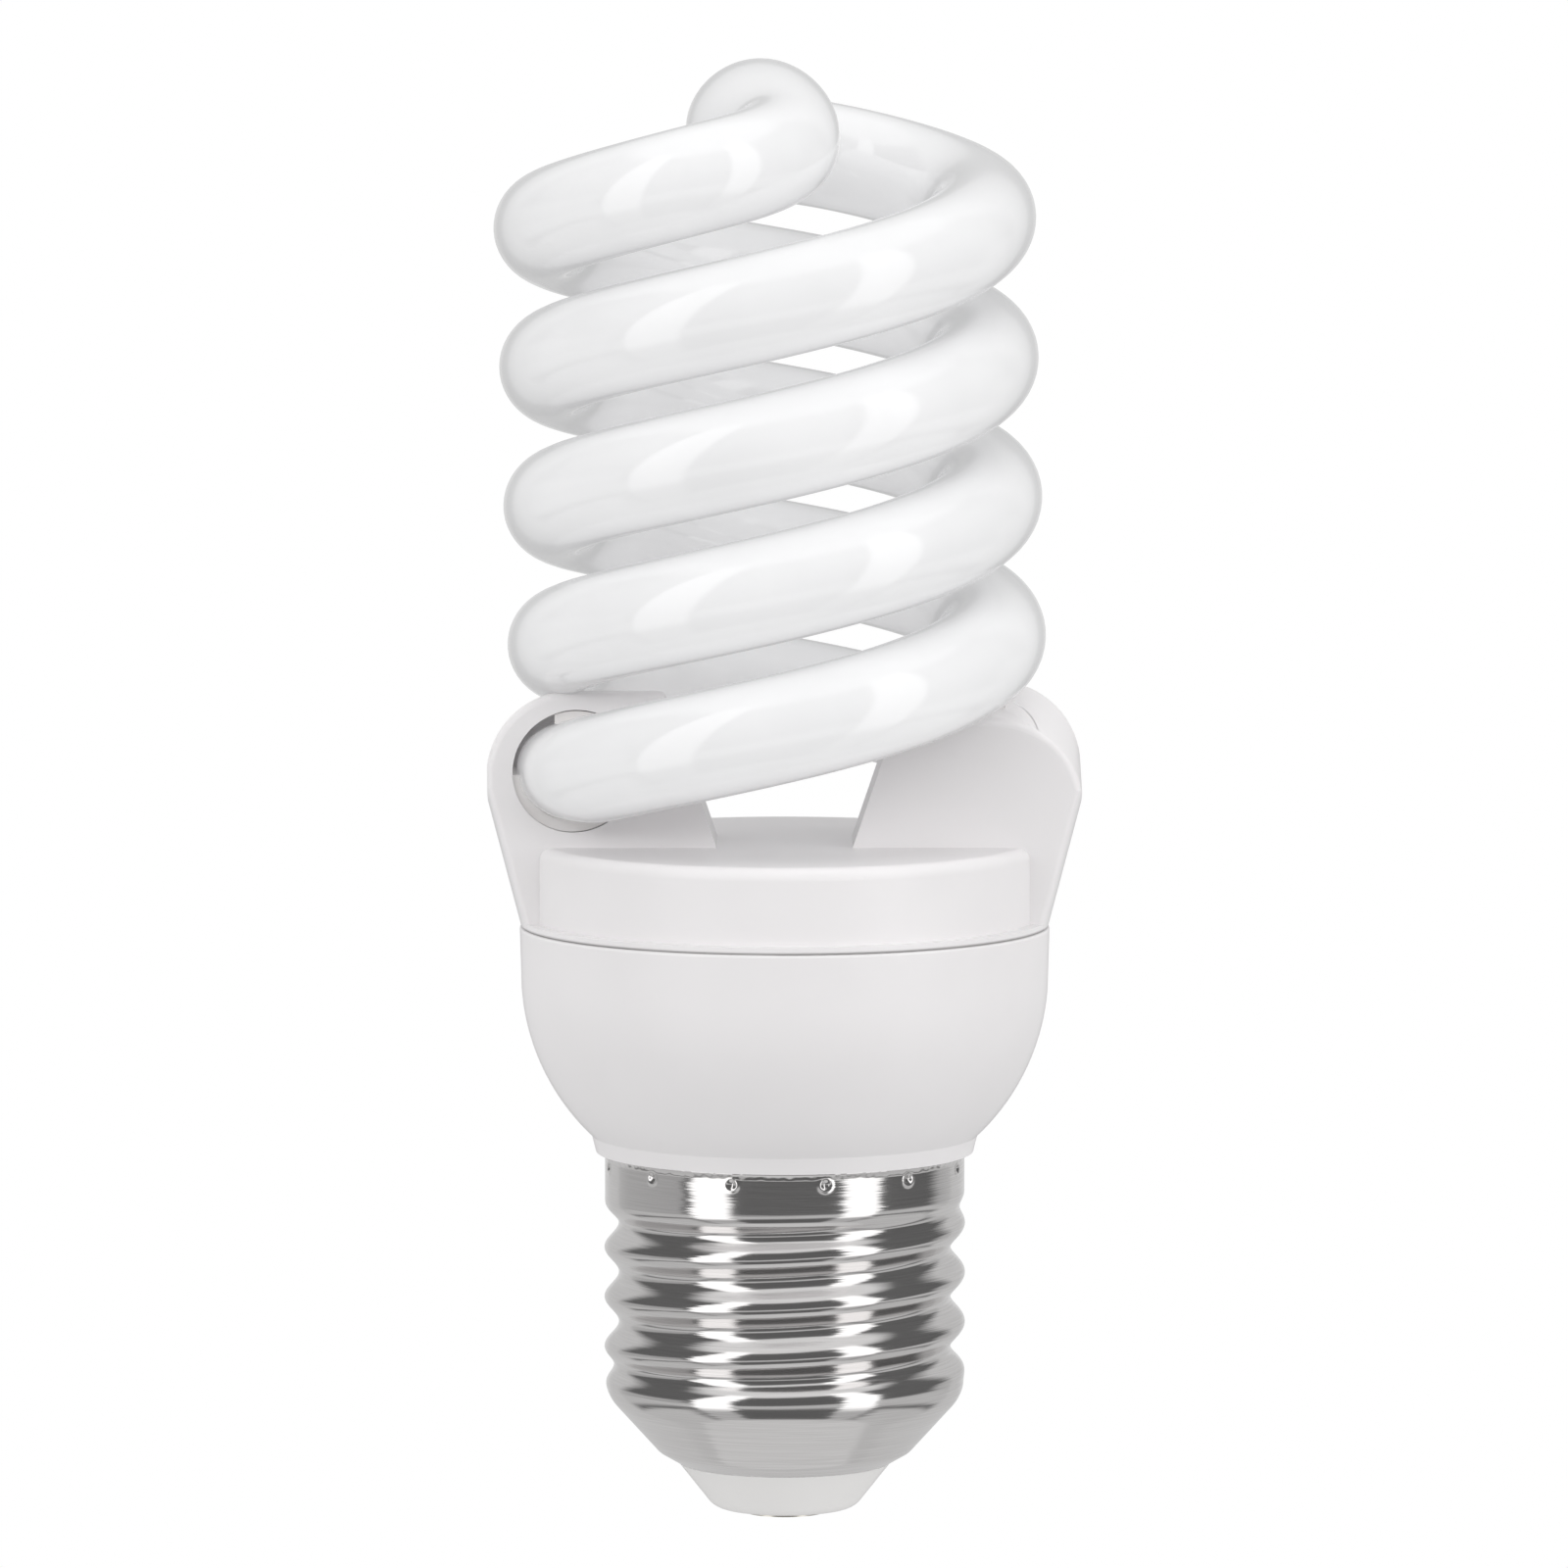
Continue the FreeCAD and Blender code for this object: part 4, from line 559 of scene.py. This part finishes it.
def tubeCentreline():
    plan = tubePlan
    first = 180.0 - math.degrees(math.asin(plan["endDepth"] / plan["coilRadius"]))
    steps = int(math.ceil((plan["topBearing"] - first) / plan["step"]))
    half = []
    for i in range(steps + 1):
        bearing = first + (plan["topBearing"] - first) * i / steps
        angle = math.radians(bearing)
        rise = (bearing - plan["bearing"]) / 360.0 * plan["pitch"]
        weight = endWeight(math.radians(bearing - first) * plan["coilRadius"])
        radius = plan["coilRadius"] + plan["endOut"] * weight
        rise += plan["endLift"] * weight
        half.append((radius * math.cos(angle), radius * math.sin(angle), rise))
    level = half[-1][2]
    for inset, bearing, rise in plan["crossover"]:
        angle = math.radians(bearing)
        radius = plan["coilRadius"] - inset
        half.append((radius * math.cos(angle), radius * math.sin(angle), level + rise))
    whole = half + [(0.0, 0.0, level + plan["apexRise"])] + [(-x, -y, z) for x, y, z in reversed(half)]
    path = smoothPath(whole, plan["rings"])
    lean = math.radians(plan["lean"])
    x = path[:, 0] * math.cos(lean) - path[:, 2] * math.sin(lean)
    z = path[:, 0] * math.sin(lean) + path[:, 2] * math.cos(lean)
    return np.stack([x, path[:, 1], z + plan["seam"]], axis=1) * mm


def modifierInput(modifier, group, name, value):
    for socket in group.interface.items_tree:
        if socket.item_type == "SOCKET" and socket.in_out == "INPUT" and socket.name == name:
            modifier[socket.identifier] = value


def sweepGroup():
    group = bpy.data.node_groups.new("sweepTube", "GeometryNodeTree")
    group.interface.new_socket("Geometry", in_out="INPUT", socket_type="NodeSocketGeometry")
    group.interface.new_socket("Radius", in_out="INPUT", socket_type="NodeSocketFloat")
    group.interface.new_socket("Sides", in_out="INPUT", socket_type="NodeSocketInt")
    group.interface.new_socket("Material", in_out="INPUT", socket_type="NodeSocketMaterial")
    group.interface.new_socket("Geometry", in_out="OUTPUT", socket_type="NodeSocketGeometry")
    n = group.nodes
    link = group.links.new
    source = n.new("NodeGroupInput")
    sink = n.new("NodeGroupOutput")
    ring = n.new("GeometryNodeCurvePrimitiveCircle")
    sweep = n.new("GeometryNodeCurveToMesh")
    sweep.inputs["Fill Caps"].default_value = True
    thickness = n.new("GeometryNodeInputRadius")
    smooth = n.new("GeometryNodeSetShadeSmooth")
    coat = n.new("GeometryNodeSetMaterial")
    link(source.outputs["Geometry"], sweep.inputs["Curve"])
    link(source.outputs["Radius"], ring.inputs["Radius"])
    link(source.outputs["Sides"], ring.inputs["Resolution"])
    link(ring.outputs["Curve"], sweep.inputs["Profile Curve"])
    link(thickness.outputs["Radius"], sweep.inputs["Scale"])
    link(sweep.outputs["Mesh"], smooth.inputs["Geometry"])
    link(smooth.outputs["Geometry"], coat.inputs["Geometry"])
    link(source.outputs["Material"], coat.inputs["Material"])
    link(coat.outputs["Geometry"], sink.inputs["Geometry"])
    return group


def bake(item, name):
    # mesh of an object as its modifiers leave it, as a piece of its own
    depsgraph = bpy.context.evaluated_depsgraph_get()
    mesh = bpy.data.meshes.new_from_object(item.evaluated_get(depsgraph), depsgraph=depsgraph)
    piece = bpy.data.objects.new(name, mesh)
    scene.collection.objects.link(piece)
    bpy.data.objects.remove(item)
    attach(piece, "root")
    return piece


def addTube():
    path = tubeCentreline()
    data = bpy.data.curves.new("tubePath", "CURVE")
    data.dimensions = "3D"
    spline = data.splines.new("POLY")
    spline.points.add(len(path) - 1)
    spans = np.linalg.norm(np.diff(path, axis=0), axis=1) / mm
    along = np.concatenate([[0.0], np.cumsum(spans)])
    for point, place, distance in zip(spline.points, path, along):
        point.co = (*place, 1.0)
        thinner = endWeight(distance) + endWeight(along[-1] - distance)
        point.radius = 1.0 - tubePlan["endTaper"] * thinner / tubePlan["tubeRadius"]
    curve = bpy.data.objects.new("tubePath", data)
    scene.collection.objects.link(curve)
    group = sweepGroup()
    modifier = curve.modifiers.new("sweep", "NODES")
    modifier.node_group = group
    modifierInput(modifier, group, "Radius", tubePlan["tubeRadius"] * mm)
    modifierInput(modifier, group, "Sides", tubePlan["sides"])
    modifierInput(modifier, group, "Material", materials["frosted_glass"])
    piece = bake(curve, "glassSpiral")
    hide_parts("spiral_tube")
    print("tube", len(piece.data.polygons))


# Rolled screw shell

shellPlan = {
    "band": 13.05, "crest": 0.05, "groove": 1.05, "pitch": 3.629, "phase": 245.0,
    "threadFoot": 9.2, "threadHead": 23.6, "fade": 2.4, "wall": 0.3,
    "mouth": (7.75, 3.7), "shoulder": (9.2, 4.55), "shoulderHead": 8.8, "round": 3.0,
    "bandFoot": 24.65, "flareFoot": 25.95, "rim": 26.5, "flare": 0.20,
    # radius and height down the inside
    "inside": [(12.7, 25.5), (12.7, 23.7), (11.7, 22.5), (11.7, 8.0), (9.0, 4.85), (7.75, 4.05), (7.75, 3.7)],
    "threadColumns": 256, "bandColumns": 768, "insideColumns": 96,
    # stake marks: a pressed dot with a raised ring round it
    "dots": 12, "dotHeight": 25.62, "dotBearing": -107.0, "dotDepth": 0.16, "dotRadius": 0.26,
    "ringHeight": 0.06, "ringRadius": 0.42, "ringWidth": 0.13,
    # uneven rim: depth, the height over which it sets in, waves to a turn and their starts
    "wave": 0.035, "waveFade": 0.3, "waves": [(23, 0.0), (57, 1.3), (101, 0.4)],
}


def threadOffset(z, bearing):
    plan = shellPlan
    reach = np.clip(np.minimum(z - plan["threadFoot"], plan["threadHead"] - z) / plan["fade"], 0.0, 1.0)
    strength = reach * reach * (3 - 2 * reach)
    phase = 2 * np.pi * (z - plan["threadFoot"]) / plan["pitch"] - np.radians(bearing - plan["phase"])
    return strength * (plan["crest"] - plan["groove"] * (1 - np.cos(phase)) / 2)


def shellProfile():
    # (radius, height) along the outside, from the mouth at the foot up to the foot of the band
    plan = shellPlan
    mouth = np.array(plan["mouth"])
    shoulder = np.array(plan["shoulder"])
    run = plan["band"] - shoulder[0]
    rise = plan["shoulderHead"] - shoulder[1]
    slant = math.hypot(run, rise)
    trim = plan["round"] * (slant - rise) / run
    arcStart = np.array([plan["band"] - trim * run / slant, plan["shoulderHead"] - trim * rise / slant])
    roundTop = plan["shoulderHead"] + trim
    points = [mouth * (1 - t) + shoulder * t for t in np.linspace(0, 0.94, 5)]
    points += [shoulder * (1 - t) + arcStart * t for t in np.linspace(0.03, 1, 14)]
    turn = math.atan2(run, rise)
    for t in np.linspace(0.1, 1, 12):
        a = turn * (1 - t)
        inward = plan["round"] * (1 - math.cos(a))
        points.append(np.array([plan["band"] - inward, roundTop - plan["round"] * math.sin(a)]))
    points += [np.array([plan["band"], z]) for z in np.arange(roundTop + 0.12, plan["bandFoot"] - 0.05, 0.12)]
    points.append(np.array([plan["band"], plan["bandFoot"]]))
    return np.array(points)


def ringMesh(rows, columns, offset):
    # vertices and faces of a skin of revolution, with a radial offset by height and bearing
    bearings = np.arange(columns) * 360.0 / columns
    vertices = []
    for r, z in rows:
        radius = r + offset(np.full(columns, z), bearings)
        a = np.radians(bearings)
        vertices.append(np.stack([radius * np.cos(a), radius * np.sin(a), np.full(columns, z)], axis=1))
    vertices = np.concatenate(vertices) * mm
    faces = []
    for i in range(len(rows) - 1):
        for j in range(columns):
            k = (j + 1) % columns
            faces.append((i * columns + j, i * columns + k, (i + 1) * columns + k, (i + 1) * columns + j))
    return vertices, faces


def joinSkins(skins):
    # one list of vertices and one of faces from several
    vertices = []
    faces = []
    for points, panels in skins:
        shift = sum(len(part) for part in vertices)
        vertices.append(points)
        faces += [tuple(i + shift for i in panel) for panel in panels]
    return np.concatenate(vertices), faces


def skinPiece(name, vertices, faces, material, smooth):
    mesh = bpy.data.meshes.new(name)
    mesh.from_pydata(vertices.tolist(), [], faces)
    mesh.polygons.foreach_set("use_smooth", [smooth] * len(mesh.polygons))
    mesh.update()
    mesh.materials.append(material)
    piece = bpy.data.objects.new(name, mesh)
    scene.collection.objects.link(piece)
    return piece


def dotOffset(z, bearing):
    # stake marks pressed into the band, and the uneven rim
    plan = shellPlan
    step = 360.0 / plan["dots"]
    off = (bearing - plan["dotBearing"] + step / 2) % step - step / 2
    across = np.radians(off) * plan["band"]
    far = np.hypot(across, z - plan["dotHeight"])
    pressed = plan["dotDepth"] * np.exp(-(far / plan["dotRadius"]) ** 2)
    raised = plan["ringHeight"] * np.exp(-((far - plan["ringRadius"]) / plan["ringWidth"]) ** 2)
    turn = np.radians(bearing)
    uneven = sum(np.sin(count * turn + start) for count, start in plan["waves"]) / len(plan["waves"])
    share = np.clip((z - plan["flareFoot"]) / plan["waveFade"], 0.0, 1.0)
    return raised - pressed + plan["wave"] * uneven * share


def bandProfile():
    # (radius, height) up the flared band, over the rim and down a little inside it
    plan = shellPlan
    radius, foot, rim, wall = plan["band"], plan["flareFoot"], plan["rim"], plan["wall"]
    edge = radius + plan["flare"]
    points = [(radius, z) for z in np.arange(plan["bandFoot"], foot, 0.08)]
    points += [(radius + plan["flare"] * t ** 1.5, foot + (rim - 0.08 - foot) * t)
               for t in np.linspace(0, 1, 12)]
    return points + [(edge - 0.03, rim - 0.02), (edge - 0.12, rim), (edge - 0.25, rim - 0.02),
                     (edge - wall, rim - 0.12), (radius - wall, foot)]


def addShell():
    plan = shellPlan
    vertices, faces = joinSkins([
        ringMesh(shellProfile(), plan["threadColumns"], threadOffset),
        ringMesh(bandProfile(), plan["bandColumns"], dotOffset),
        ringMesh(plan["inside"], plan["insideColumns"], lambda z, bearing: 0 * z),
    ])
    piece = skinPiece("rolledShell", vertices, faces, materials["nickel_shell"], True)
    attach(piece, "root")
    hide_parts("screw_shell")
    print("shell", len(faces))


# Lids over the inner ends of the sockets

hoodPlan = {
    # height of the lid's top: level + slope * y, less fall * (x past the shoulder) squared
    "level": 59.28, "slope": 0.278, "shoulder": 15.5, "fall": 0.105, "wall": 0.6, "rings": 5,
    # outline of the opening in the top of the right ear, (x, y)
    "outline": [(12.2, -2.5), (12.6, -2.85), (14.9, -3.3), (18.1, -3.9), (18.4, -3.4), (18.2, -2.4),
                (17.8, -1.4), (17.3, -0.7), (16.4, 0.15), (15.6, 0.9), (15.05, 1.15), (14.5, 0.85),
                (13.7, 0.1), (13.1, -0.8), (12.6, -1.7)],
}


def addHoodLids():
    plan = hoodPlan
    outline = np.array(plan["outline"])
    middle = outline.mean(axis=0)
    spots = [middle]
    for ring in range(1, plan["rings"] + 1):
        spots += list(middle + (outline - middle) * ring / plan["rings"])
    spots = np.array(spots)
    beyond = np.maximum(spots[:, 0] - plan["shoulder"], 0.0)
    height = plan["level"] + plan["slope"] * spots[:, 1] - plan["fall"] * beyond ** 2
    top = np.column_stack([spots, height])
    lid = np.concatenate([top, top - (0, 0, plan["wall"])]) * mm
    around, under = len(outline), len(spots)
    last = under - around
    faces = []
    for i in range(around):
        j = (i + 1) % around
        faces += [(0, 1 + i, 1 + j), (under, under + 1 + j, under + 1 + i),
                  (last + j, last + i, under + last + i, under + last + j)]
        for ring in range(plan["rings"] - 1):
            near, far = 1 + ring * around, 1 + (ring + 1) * around
            faces += [(near + i, far + i, far + j, near + j),
                      (under + near + j, under + far + j, under + far + i, under + near + i)]
    # the second lid is the first after half a turn about the axis
    vertices, faces = joinSkins([(lid, faces), (lid * (-1, -1, 1), faces)])
    piece = skinPiece("hoodLids", vertices, faces, materials["housing_plastic"], False)
    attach(piece, "root")
    print("lids", len(faces))


addCamera()
addLights()
addRoom()
addStage()
paintNodes()
print("materials", len(materials))
addTube()
addShell()
addHoodLids()
